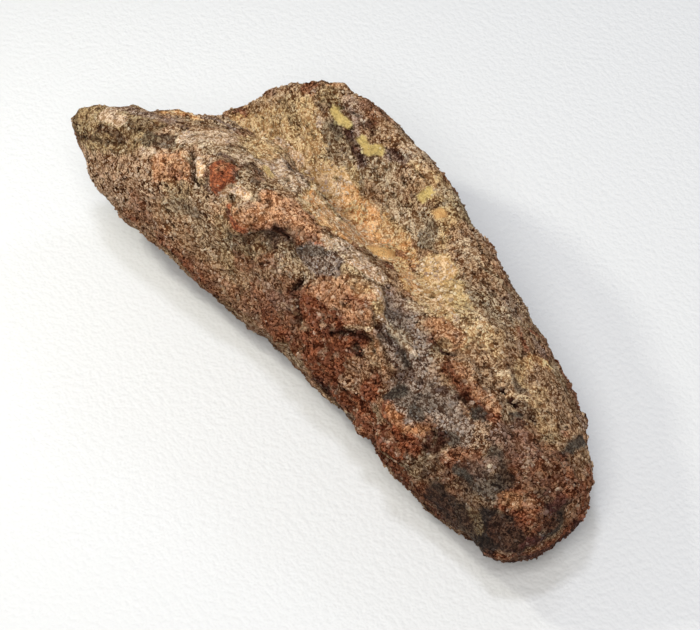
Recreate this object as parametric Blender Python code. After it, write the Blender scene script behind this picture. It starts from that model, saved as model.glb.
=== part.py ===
"""A fossil spinosaurus tooth, worn to one rounded stone of bone, sandstone and rusty crust.

The tooth lies on its side along X: the broken root is at -X, the worn crown tip at +X. Two walls of the
root run along it, the ridge on the -Y side and the lobe on the +Y side, with the split pulp hollow between
them as an open valley that fades out half way to the tip. It rests on a worn flat at z = 0.

The main form is a loft through guide rails. It is remeshed evenly, then its lumps, ledges, pits and grainy
relief are raised out of it or pressed into it, and its foot is cut flat.
"""

import math

import bmesh
import bpy
from mathutils import Vector, noise

MM = 0.001  # the lengths below are in millimetres, and the model is in metres

# Guide rails: each is one line along the tooth, from the broken root to the tip, as (x, y, z) points.
# They stand in the order in which they go round a section, starting under the tooth.
RAILS = {
    "keel": [
        (-37, -2, 12), (-27, -1, 3), (-13, 0, -1), (1, 1, -1),
        (13, 1, -1), (25, 1, -1), (33, 0, -0.2), (38.5, 0, 2.2),
    ],
    "foot": [
        (-40.5, -11, 14.5), (-30, -10, 5.5), (-15, -7, 0.8), (0, -6, 0),
        (12, -5, 0), (24, -5, 0), (33, -5.7, 1), (38.5, -5.1, 4),
    ],
    "flank": [
        (-41.5, -15, 16.5), (-32, -16, 14), (-18, -13.5, 11.5), (-4, -10.5, 10.5),
        (9, -9.8, 9.5), (21, -9.6, 9), (32, -9.6, 8.5), (38.5, -8.8, 8.5),
    ],
    "ridge": [
        (-38, -11.5, 21), (-28, -10, 23.7), (-15, -8.5, 25.5), (-3, -6, 24.8),
        (10, -4.5, 23), (22, -5, 19.5), (32, -6, 16), (38.5, -5.7, 13.5),
    ],
    "brink": [
        (-27.5, 0, 20), (-21, 1, 21.6), (-13, 1.8, 22), (-2, 1.2, 22),
        (9, 0.5, 22), (21, -1, 20.8), (31, -2.3, 17.8), (38.5, -2.6, 15),
    ],
    "valley": [
        (-32.5, 4, 14), (-24, 5, 14), (-12, 5.5, 15), (-2, 6, 16),
        (8, 5.7, 18.3), (19, 3.3, 20.5), (30, 1.3, 18.2), (38.5, 0.5, 15.5),
    ],
    "slope": [
        (-29, 8.3, 19), (-22, 8.7, 21), (-11, 10, 21.5), (0, 10.7, 21),
        (11, 10, 20.8), (21, 7.5, 20.2), (31, 5.2, 17.6), (38.5, 3.8, 15),
    ],
    "lobe": [
        (-22.4, 12, 23.7), (-17, 13.6, 26), (-9, 15, 25.4), (1, 14.9, 24),
        (12, 14, 21.6), (22, 12, 18.5), (32, 9.4, 15.2), (38.5, 7.1, 13),
    ],
    "back": [
        (-26.5, 14.5, 15), (-20, 18.3, 14), (-10, 18.9, 13.5), (2, 18.3, 12.5),
        (13, 16.4, 11.5), (23, 15.5, 10.5), (33, 12.7, 9.5), (38.5, 9.8, 9),
    ],
    "heel": [
        (-33, 8, 11), (-25, 9.5, 4), (-12, 10, 0.8), (1, 10, 0),
        (13, 9.5, 0), (24, 8.5, 0), (33, 7, 0.6), (38.5, 5, 2.8),
    ],
}
STEPS_TO_NEXT_RAIL = [4, 5, 8, 4, 4, 5, 5, 7, 6, 5]  # points of a section from each rail to the next
RINGS = 62  # sections along the rails
TIP = (44.9, -0.6, 8.8)
TIP_RINGS = 7
TIP_BLUNTNESS = 0.85  # under 1 the dome is squarer than a round one

# Features on the surface, as (radius, height, edge, path): what lies within the radius of the path is
# raised by the height, or sunk where it is negative. The edge is the share of the radius that slopes.
FEATURES = {
    # The ridge and the nose of the root, on the side of -Y.
    "nose cap": (4.5, 0.3, 0.3, [(-36.5, -13, 20), (-32.5, -10, 23)]),
    "groove under the nose": (1.2, -0.3, 1.0, [(-38, -15.3, 18), (-33, -14.5, 19.5), (-29, -12.5, 21.5)]),
    "nose pit": (1.2, -0.9, 0.8, [(-24, -7, 25)]),
    "red nodule": (2.6, 0.9, 0.5, [(-14, -7.8, 25.6)]),
    "pink nodule": (2.5, 1.0, 0.6, [(-8.6, -8.9, 22.7), (-7.4, -8.6, 22.9)]),
    "nodule hole": (1.0, -1.3, 0.8, [(-10.6, -8.6, 24.4)]),
    "slot": (0.9, -0.9, 0.9, [(-18.8, -9, 25.2), (-17, -10.2, 23.8)]),
    "hollow under the ridge": (2.0, -0.9, 0.9, [(-4.8, -8.5, 21.5), (-1, -7.4, 22.4), (2, -7, 21.6)]),
    # The broken rims of the root and the slab of bone along the brink of the valley.
    "ridge rim": (1.4, 0.35, 0.7, [(-31, -6, 22.5), (-27.4, -2.3, 21.8), (-25.5, 0.7, 20.8), (-21, 1, 22)]),
    "brink slab": (2.3, 0.7, 0.5, [(-16.4, 0.4, 22.8), (-12, 0.6, 23), (-7.4, -0.1, 23.2)]),
    "lobe rim": (1.6, 0.35, 0.7, [(-24, 11, 22), (-21.5, 12.3, 25), (-18, 13.8, 26)]),
    "rim knob": (2.0, 0.4, 0.8, [(-27.5, 8.6, 20)]),
    # The rusty crust of the flank, and the strip that has lost its crust.
    "flank crust": (4.6, 0.9, 0.4, [(4, -9.5, 14), (9, -7.5, 19.5), (14, -6.5, 19), (17, -8.3, 13)]),
    "crust brow": (1.8, 0.6, 0.5, [(9.5, -3.5, 23.3), (13, -3.4, 22.8), (14.5, -5.2, 21)]),
    "flank hollow": (2.4, -0.5, 0.8, [(11.5, -9.2, 14.5), (14.5, -8.6, 15.5)]),
    "bare strip": (3.2, -0.9, 0.4, [(15.5, -1.6, 22), (19, -3.6, 21.3), (25, -4.4, 19.4), (30, -5.6, 17)]),
    "rust lump": (3.3, 1.5, 0.6, [(22.2, -8.3, 14.2), (27, -8.2, 12.6)]),
    "lower crust": (4.0, 0.4, 0.4, [(-12, -13.2, 10), (-2, -11.5, 9), (8, -9.8, 7.5)]),
    # The knobs and holes on the upper side, between the strip and the lobe.
    "pebble": (1.5, 0.7, 0.5, [(2.2, 5, 17.8), (3.2, 4.8, 17.9)]),
    "rust knobs": (1.9, 1.0, 0.8, [(24.6, 0.2, 20), (27.6, 0.6, 19), (29.8, 1, 18.3)]),
    "rust tail": (1.7, 0.9, 0.8, [(31.6, 0.6, 17.8), (34.5, -1.4, 16.8)]),
    "hole by the knobs": (1.3, -1.3, 0.9, [(28.3, 3.1, 18.6), (30, 3.2, 18.2)]),
    "hole above the knobs": (1.2, -1.2, 0.9, [(20.6, 0.7, 21), (22, 1.3, 20.6)]),
    "sandy swell": (3.0, 0.7, 0.9, [(17, 7, 21), (22, 6.4, 19.9)]),
    "tip crust": (4.0, 0.8, 0.4, [(38.5, -2.5, 15), (40.5, 1, 13)]),
    # The far side and the ends.
    "back crust": (5.0, 0.7, 0.5, [(-12, 19, 11), (-4, 19, 13), (5, 18, 10)]),
    "back bare patch": (4.5, -0.7, 0.6, [(14, 16.5, 10), (23, 15, 8)]),
    "back lump": (2.6, 0.8, 0.8, [(29, 13, 6)]),
    "back pit": (1.6, -1.2, 0.9, [(8.5, 17.8, 8.5)]),
    "root hollow": (3.6, -1.4, 0.9, [(-32, 10.5, 12)]),
    "root pit": (2.6, -1.3, 0.9, [(-39, -6.5, 15)]),
}
OUTLINE_WOBBLE = 0.4  # share of its radius by which a feature's outline wanders
TOP_WOBBLE = 0.55  # share of its height by which a feature's top is uneven
WOBBLE_SIZE = 2.6
RELIEF = [(10, 0.7), (3.6, 0.5)]  # size of the bumps and their height, from coarse to fine

EVEN_SPACING = 0.8  # spacing of the even mesh that the features are raised from
WEAR_PASSES = 10  # smoothing passes that round the broken edges
TRIANGLES = 9400  # faces left once the even mesh is thinned out
FOOT_BAND = 3.5  # the relief fades out over this height above the foot
SHORTEST_EDGE = 0.08  # shorter ones, left by the cut of the foot, are merged away

STONE_COLOUR = (0.165, 0.092, 0.047)
STONE_ROUGHNESS = 0.92


def catmull_rom(a, b, c, d, t):
    """The point a share t of the way from b to c, on the smooth curve through all four."""
    straight = 2 * b + (c - a) * t
    bend = (2 * a - 5 * b + 4 * c - d) * t**2
    twist = (3 * b - a - 3 * c + d) * t**3
    return 0.5 * (straight + bend + twist)


def smooth_step(t):
    """0 below t = 0 and 1 above t = 1, with a soft slope between."""
    t = max(0, min(1, t))
    return t * t * (3 - 2 * t)


def point_on_rail(rail, share):
    """The point at this share of the rail's length, which ends at its first and last points."""
    spans = len(rail) - 1
    span = min(int(share * spans), spans - 1)
    before = rail[span - 1] if span > 0 else 2 * rail[0] - rail[1]
    after = rail[span + 2] if span + 2 <= spans else 2 * rail[spans] - rail[spans - 1]
    return catmull_rom(before, rail[span], rail[span + 1], after, share * spans - span)


def section(rails, share):
    """One closed ring round the tooth, through every rail at this share of its length."""
    knots = [point_on_rail(rail, share) for rail in rails]
    count = len(knots)
    ring = []
    for i, steps in enumerate(STEPS_TO_NEXT_RAIL):
        around = [knots[(i + k) % count] for k in (-1, 0, 1, 2)]
        ring += [catmull_rom(*around, step / steps) for step in range(steps)]
    return ring


def dome_rings(ring, pole, count):
    """Shrinking rings that close an end ring as a blunt dome reaching to the pole."""
    centre = sum(ring, Vector()) / len(ring)
    rings = []
    for k in range(1, count):
        angle = math.pi / 2 * k / count
        width = math.cos(angle) ** TIP_BLUNTNESS
        reach = math.sin(angle)
        rings.append([centre + (p - centre) * width + (pole - centre) * reach for p in ring])
    return rings


def loft_body():
    """The main form as a closed mesh: rings through the rails, a domed tip and a broken root."""
    rails = [[Vector(p) * MM for p in rail] for rail in RAILS.values()]
    rings = [section(rails, i / (RINGS - 1)) for i in range(RINGS)]
    tip = Vector(TIP) * MM
    rings += dome_rings(rings[-1], tip, TIP_RINGS)

    body = bmesh.new()
    loops = [[body.verts.new(p) for p in ring] for ring in rings]
    for near, far in zip(loops, loops[1:]):
        for k in range(len(near)):
            j = (k + 1) % len(near)
            body.faces.new((near[k], near[j], far[j], far[k]))
    pole = body.verts.new(tip)
    last = loops[-1]
    for k in range(len(last)):
        body.faces.new((last[k], last[(k + 1) % len(last)], pole))
    broken_edge = [edge for edge in body.edges if edge.is_boundary]
    bmesh.ops.triangle_fill(body, use_beauty=True, edges=broken_edge)
    bmesh.ops.recalc_face_normals(body, faces=body.faces)
    return body


def apply_modifier(obj, kind, **settings):
    """Bakes one modifier into the object's mesh."""
    modifier = obj.modifiers.new(kind.title(), kind)
    for name, value in settings.items():
        setattr(modifier, name, value)
    graph = bpy.context.evaluated_depsgraph_get()
    baked = bpy.data.meshes.new_from_object(obj.evaluated_get(graph))
    obj.modifiers.clear()
    first = obj.data
    obj.data = baked
    bpy.data.meshes.remove(first)


def distance_to_path(point, path):
    """The shortest way from a point to a path of straight stretches, or to its one point."""
    shortest = (point - path[0]).length
    for a, b in zip(path, path[1:]):
        along = b - a
        share = (point - a).dot(along) / along.length_squared
        nearest = a + along * max(0, min(1, share))
        shortest = min(shortest, (point - nearest).length)
    return shortest


def feature_rise(point, radius, height, edge, path):
    """How far one feature raises the surface at a point, in millimetres."""
    wander = noise.noise(point / WOBBLE_SIZE)
    inside = 1 + wander * OUTLINE_WOBBLE - distance_to_path(point, path) / radius
    return height * smooth_step(inside / edge) * (1 + wander * TOP_WOBBLE)


def relief_rise(point):
    """The uneven, weathered surface between the features, in millimetres."""
    return sum(height * noise.noise(point / size) for size, height in RELIEF)


def weather(mesh):
    """Moves each point of the mesh out or in along its normal, by the features and the relief."""
    features = [(r, h, e, [Vector(p) for p in path]) for r, h, e, path in FEATURES.values()]
    normals = [vertex.normal.copy() for vertex in mesh.vertices]
    for vertex, normal in zip(mesh.vertices, normals):
        point = vertex.co / MM
        rise = relief_rise(point) + sum(feature_rise(point, *feature) for feature in features)
        above_foot = smooth_step((point.z - 0.5) / FOOT_BAND)
        vertex.co += normal * rise * above_foot * MM


def cut_foot(mesh):
    """Cuts the underside off at z = 0 and closes the cut with one flat face."""
    body = bmesh.new()
    body.from_mesh(mesh)
    everything = body.verts[:] + body.edges[:] + body.faces[:]
    bmesh.ops.bisect_plane(body, geom=everything, plane_co=(0, 0, 0), plane_no=(0, 0, 1), clear_inner=True)
    bmesh.ops.remove_doubles(body, verts=body.verts, dist=SHORTEST_EDGE * MM)
    open_edges = [edge for edge in body.edges if edge.is_boundary]
    bmesh.ops.contextual_create(body, geom=open_edges)
    bmesh.ops.recalc_face_normals(body, faces=body.faces)
    body.to_mesh(mesh)
    body.free()


def centre_on_origin(mesh):
    """Moves the mesh sideways so that its box stands centred on the origin."""
    xs = [vertex.co.x for vertex in mesh.vertices]
    ys = [vertex.co.y for vertex in mesh.vertices]
    middle = Vector((min(xs) + max(xs), min(ys) + max(ys), 0)) / 2
    for vertex in mesh.vertices:
        vertex.co -= middle


def stone_material():
    material = bpy.data.materials.new("fossil_stone")
    material.use_nodes = True
    surface = material.node_tree.nodes["Principled BSDF"]
    surface.inputs["Base Color"].default_value = (*STONE_COLOUR, 1)
    surface.inputs["Roughness"].default_value = STONE_ROUGHNESS
    surface.inputs["Metallic"].default_value = 0
    material.diffuse_color = (*STONE_COLOUR, 1)
    return material


def build_tooth():
    body = loft_body()
    mesh = bpy.data.meshes.new("fossil_tooth")
    body.to_mesh(mesh)
    body.free()
    tooth = bpy.data.objects.new("fossil_tooth", mesh)
    bpy.context.scene.collection.objects.link(tooth)
    apply_modifier(tooth, "REMESH", mode="VOXEL", voxel_size=EVEN_SPACING * MM)
    apply_modifier(tooth, "SMOOTH", factor=0.5, iterations=WEAR_PASSES)
    weather(tooth.data)
    even_triangles = sum(len(face.vertices) - 2 for face in tooth.data.polygons)
    apply_modifier(tooth, "DECIMATE", ratio=TRIANGLES / even_triangles)
    cut_foot(tooth.data)
    centre_on_origin(tooth.data)
    tooth.data.materials.append(stone_material())
    tooth.data.name = "fossil_tooth"


def main():
    for obj in list(bpy.data.objects):
        bpy.data.objects.remove(obj, do_unlink=True)
    build_tooth()


main()
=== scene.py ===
"""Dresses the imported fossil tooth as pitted, iron-stained sandstone and bone, on a plain pale floor.

The stone body is a fine copy of the CAD node, carved with its small relief and coloured by named
mineral patches. Loose-set sand grains of three kinds are then seated in it as meshes of their own.
"""

import math

import bpy
import numpy as np
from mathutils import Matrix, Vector, noise


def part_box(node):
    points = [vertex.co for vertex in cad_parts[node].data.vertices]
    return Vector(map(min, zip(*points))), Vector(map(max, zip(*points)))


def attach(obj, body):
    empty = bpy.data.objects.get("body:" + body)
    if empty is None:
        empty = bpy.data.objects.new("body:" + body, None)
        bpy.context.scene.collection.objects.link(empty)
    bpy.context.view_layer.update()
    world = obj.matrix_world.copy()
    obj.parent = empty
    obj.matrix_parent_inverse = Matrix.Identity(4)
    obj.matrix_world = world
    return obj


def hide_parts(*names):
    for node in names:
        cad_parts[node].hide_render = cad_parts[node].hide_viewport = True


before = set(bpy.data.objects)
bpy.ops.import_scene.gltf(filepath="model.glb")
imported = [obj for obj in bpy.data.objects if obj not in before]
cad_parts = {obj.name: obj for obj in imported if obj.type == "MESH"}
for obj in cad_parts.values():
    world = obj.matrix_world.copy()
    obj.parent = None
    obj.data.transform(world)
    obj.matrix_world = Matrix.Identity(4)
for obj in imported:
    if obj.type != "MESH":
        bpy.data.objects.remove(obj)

bl_info = {
    "name": "Fossil Tooth",
    "version": (1, 0, 0),
    "blender": (4, 5, 0),
    "location": "3D View > Sidebar > Fossil",
    "description": "Builds a weathered fossil tooth with its sand grains, a pale floor and soft light",
    "category": "Object",
}

NODE = "fossil_tooth"
BODY = "tooth_stone"
MM = 0.001


def srgb(red, green, blue):
    """A paint-chart colour, 0 to 255, as the linear colour Blender works in."""
    return tuple(
        c / 12.92 if c <= 0.04045 else ((c + 0.055) / 1.055) ** 2.4
        for c in (red / 255, green / 255, blue / 255)
    )


def tone(name, description, red, green, blue):
    """A colour that the user can change."""
    return bpy.props.FloatVectorProperty(
        name=name,
        description=description,
        default=srgb(red, green, blue),
        size=3,
        min=0,
        max=1,
        subtype="COLOR",
    )


def length(name, description, millimetres):
    """A length that the user can change."""
    return bpy.props.FloatProperty(
        name=name,
        description=description,
        default=millimetres * MM,
        min=0,
        precision=5,
        unit="LENGTH",
    )


class FossilMinerals(bpy.types.PropertyGroup):
    """Mean colour of every mineral on the stone."""

    brown: tone("Brown sandstone", "The main matrix", 157, 118, 83)
    pink: tone("Pink sandstone", "Porous matrix of the root's outer wall", 156, 118, 86)
    olive: tone("Olive crust", "Greenish brown crust", 145, 114, 76)
    pale: tone("Pale calcite", "Whitish cement", 199, 167, 129)
    cream: tone("Cream calcite", "Warm pale cement", 245, 202, 149)
    ochre: tone("Ochre sand", "Yellow brown sand in the hollow", 199, 158, 108)
    yellow: tone("Yellow sand", "Bright sand of the hollow's floor", 216, 176, 119)
    pebble: tone("Pebbles", "Smooth tan pebbles in the sand", 205, 157, 98)
    lime: tone("Lime film", "Smooth yellow-green film", 196, 171, 104)
    orange: tone("Orange sand", "Orange sand in the hollow", 234, 173, 111)
    salmon: tone("Salmon sand", "Pinkish orange sand on the brink", 179, 125, 85)
    rust: tone("Rust crust", "Iron crust", 116, 62, 37)
    bright_rust: tone("Bright rust", "Freshest iron crust", 136, 67, 38)
    red: tone("Red nodule", "Brick-red iron nodule", 144, 73, 38)
    dark_red: tone("Dark red", "Dark iron stain", 71, 31, 26)
    bone: tone("Grey bone", "Bare dentine, grey and speckled", 138, 111, 89)
    grey: tone("Grey crust", "Warm grey crust", 153, 123, 90)
    slate: tone("Slate grains", "Smooth grey-green grains", 63, 52, 40)
    purple: tone("Purple stain", "Purple-brown manganese stain", 140, 109, 87)
    dark: tone("Dark matrix", "Dark brown matrix of the lower flank", 60, 30, 20)
    tip: tone("Tip crust", "Dark red-brown crust of the tip", 38, 25, 17)


class FossilSizes(bpy.types.PropertyGroup):
    """Sizes of the stone's fine detail."""

    grid: length("Surface grid", "Spacing of the stone body's points", 0.33)
    relief: length("Relief", "Height of the stone's general unevenness", 0.16)
    crag: length("Crag", "Height of the iron crust's lumps", 0.55)
    pit: length("Pit depth", "Depth of the small pores", 0.42)
    pore: length("Pore spacing", "Mean distance between pores", 1.25)
    sand: length("Sand grain", "Mean width of a sand grain", 0.34)
    iron: length("Iron grain", "Mean width of an iron-crust grain", 0.42)
    quartz: length("Quartz grain", "Mean width of a quartz grain", 0.28)
    budget: bpy.props.IntProperty(
        name="Grains in a piece", description="Most grains in one mesh", default=9500, min=10
    )


# How each mineral is textured: grit is how strongly its grains differ, crag how lumpy it is,
# pits how porous, shine how far its roughness falls, loose how thickly grains lie on it.
TEXTURES = {
    "brown": (0.9, 0.3, 0.6, 0.0, 0.12),
    "pink": (1.0, 0.2, 1.0, 0.0, 0.12),
    "olive": (0.9, 0.2, 0.6, 0.1, 0.08),
    "pale": (0.6, 0.1, 0.5, 0.0, 0.1),
    "cream": (0.65, 0.1, 0.5, 0.1, 0.2),
    "ochre": (0.55, 0.2, 0.55, 0.0, 0.1),
    "yellow": (0.45, 0.3, 0.4, 0.0, 0.25),
    "pebble": (0.15, 0.0, 0.05, 0.35, 0.0),
    "lime": (0.1, 0.0, 0.0, 0.3, 0.0),
    "orange": (0.5, 0.3, 0.5, 0.0, 0.3),
    "salmon": (0.75, 0.3, 0.7, 0.0, 0.3),
    "rust": (1.0, 1.0, 0.8, 0.0, 0.35),
    "bright_rust": (0.9, 1.0, 0.6, 0.0, 0.5),
    "red": (0.8, 0.6, 0.2, 0.3, 0.1),
    "dark_red": (0.7, 0.4, 0.4, 0.1, 0.1),
    "bone": (1.0, 0.2, 0.6, 0.2, 0.15),
    "grey": (1.0, 0.3, 0.6, 0.0, 0.1),
    "slate": (0.85, 0.1, 0.3, 0.25, 0.0),
    "purple": (0.9, 0.2, 0.5, 0.2, 0.1),
    "dark": (1.0, 0.5, 0.6, 0.0, 0.15),
    "tip": (1.0, 0.5, 0.5, 0.2, 0.1),
}

# What the darkest and the palest grains make of their mineral's tone, and the palest tone of all.
DARK_GRAIN = (0.22, 0.12, 0.06)
PALE_GRAIN = (1.85, 2.40, 3.10)
PALEST = (0.88, 0.74, 0.60)

# What stains leave of the tone under them, and what the painted shade in the gaps between grains and in
# the pores leaves of it.
STAIN_TINT = (0.60, 0.50, 0.42)
STAIN_STRENGTH = 0.4
GAP_SHADE_TINT = (0.45, 0.34, 0.25)
PORE_SHADE_TINT = (0.12, 0.05, 0.02)

# The roughness of a fully shiny mineral, and the gloss of a dull and of a shiny one.
SHINY_ROUGHNESS = 0.4
DULL_GLOSS = 0.04
SHINY_GLOSS = 0.7

# The shader's grains: how far in metres their outlines wander, how many pores there are for each,
# how much the finest glints and domes count, and how deep a pore is beside a dome.
GRAIN_WARP = (0.0009, 0.0009, 0.0009)
PORES_PER_GRAIN = 0.4
GLINT = 0.5
GRAIN_DOME = 0.5
PORE_SINK = 0.8

# The distance between nodes on a shader's sheet.
SHEET_STEP = 220

# The modelled pores: the share of cells with one where a mineral is most porous, a factor that
# shuffles which, and their least radius and its spread as shares of a cell.
MOST_PORES = 0.75
PORE_DRAW = 37.0
PORE_RADIUS = 0.22
PORE_SPREAD = 0.16

# Heights in mm: where the resting face ends, and how near the ground a loose grain may come.
FOOT = 0.35
GRAIN_CLEARANCE = 0.02

# The seeds of the grains' random draws and of the noise that makes edges wander.
GRAIN_SEED = 7
WANDER_SEED = 1

# How loose grains are strewn: the cell of the ground that holds one, as a share of their mean
# width, the tries for each cell, and the cells that a row is counted as.
CROWDING = 0.95
TRIES = 3
ROW = 4096

# A grain's width beside the mean: the least, the spread above it, and a power that keeps the large
# ones few.
LEAST_WIDTH = 0.5
WIDTH_SPREAD = 1.1
FEW_LARGE = 2.5

# A grain's shape: how uneven its corners are, its least thickness and the spread above it, and how
# far it is pressed flat.
UNEVENNESS = 0.8
THINNEST = 0.6
STRETCH = 0.8
FLATTENING = 0.3

# A grain's tone, where 0 is its mineral's dark tone and 1 the pale one: the least, the spread above
# it, and the least of a glassy grain, with how much a glassy grain's shine varies.
DARKEST_LOT = 0.2
LOT_SPREAD = 0.55
GLASSY_LOT = 0.6
SPARKLE = 0.5

# The stone's painted light and shade: how dark the pores and the cuts are painted, how much paler the
# crests of the crust are painted and darker the hollows between them, and how strongly its tone varies
# over a millimetre.
PORE_SHADE = 0.7
CUT_SHADE = 0.88
CREST_PAINTED_LIGHT_AND_HOLLOW_SHADE = 0.25
MOTTLE = 0.2

# The lamps: name, azimuth and elevation in degrees, distance and width in metres, power in watts
# and colour.
LAMPS = (
    ("left_lamp", 310, 51, 0.14, 0.016, 0.073, (1.0, 0.99, 0.88)),
    ("top_lamp", 309, 84, 0.80, 0.12, 1.75, (0.86, 0.90, 1.0)),
    ("back_lamp", 196, 48, 0.22, 0.05, 0.05, (0.78, 0.86, 1.0)),
    ("front_softbox", 45, 56, 0.60, 0.35, 3.3, (1.0, 0.98, 0.94)),
)
SKY_COLOUR = (0.95, 0.97, 1.0)
SKY_STRENGTH = 0.29
BOARD_GREY = (0.60, 0.60, 0.60)
FLOOR_WIDTH = 4.0

# The camera: the spot it is aimed at and its distance from there in metres, and its azimuth and
# elevation in degrees.
CAMERA_AIM = (-0.003625, 0.001120, 0.002537)
CAMERA_DISTANCE = 0.307
CAMERA_ANGLES = (54, 50)

# The mineral under all others, and the slow drifts over it: mineral, share, size in mm and a shift
# of the pattern.
MATRIX = "brown"
DRIFTS = (
    ("rust", 0.55, 6.0, 11.3),
    ("dark", 0.6, 7.5, 31.7),
    ("grey", 0.5, 5.0, 57.1),
    ("olive", 0.4, 4.2, 71.9),
)

# How the stone turns to the dark mineral towards the bottom: its strength, the height in mm where it
# starts, and how far down it takes to come in.
FOOT_DARKENING = 0.5
FOOT_DARKENING_TOP = 9.0
FOOT_DARKENING_FADE = 7.0

# The small specks over all patches: mineral, share, size in mm and a shift of the pattern. They
# keep off the minerals that are clean.
SPECKS = (
    ("pale", 0.3, 1.0, 3.7),
    ("dark", 0.35, 0.9, 21.1),
    ("rust", 0.25, 1.3, 41.3),
    ("olive", 0.2, 1.2, 63.9),
)
CLEAN = ("yellow", "pebble", "lime", "orange", "pale", "cream", "slate", "bone", "red", "tip")

# The widths in mm over which a lime film and the smallest other patches fade out, and the share of
# their radius over which larger ones do.
CRISP_EDGE = 0.35
SOFT_EDGE = 0.4
EDGE_SHARE = 0.35
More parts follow.
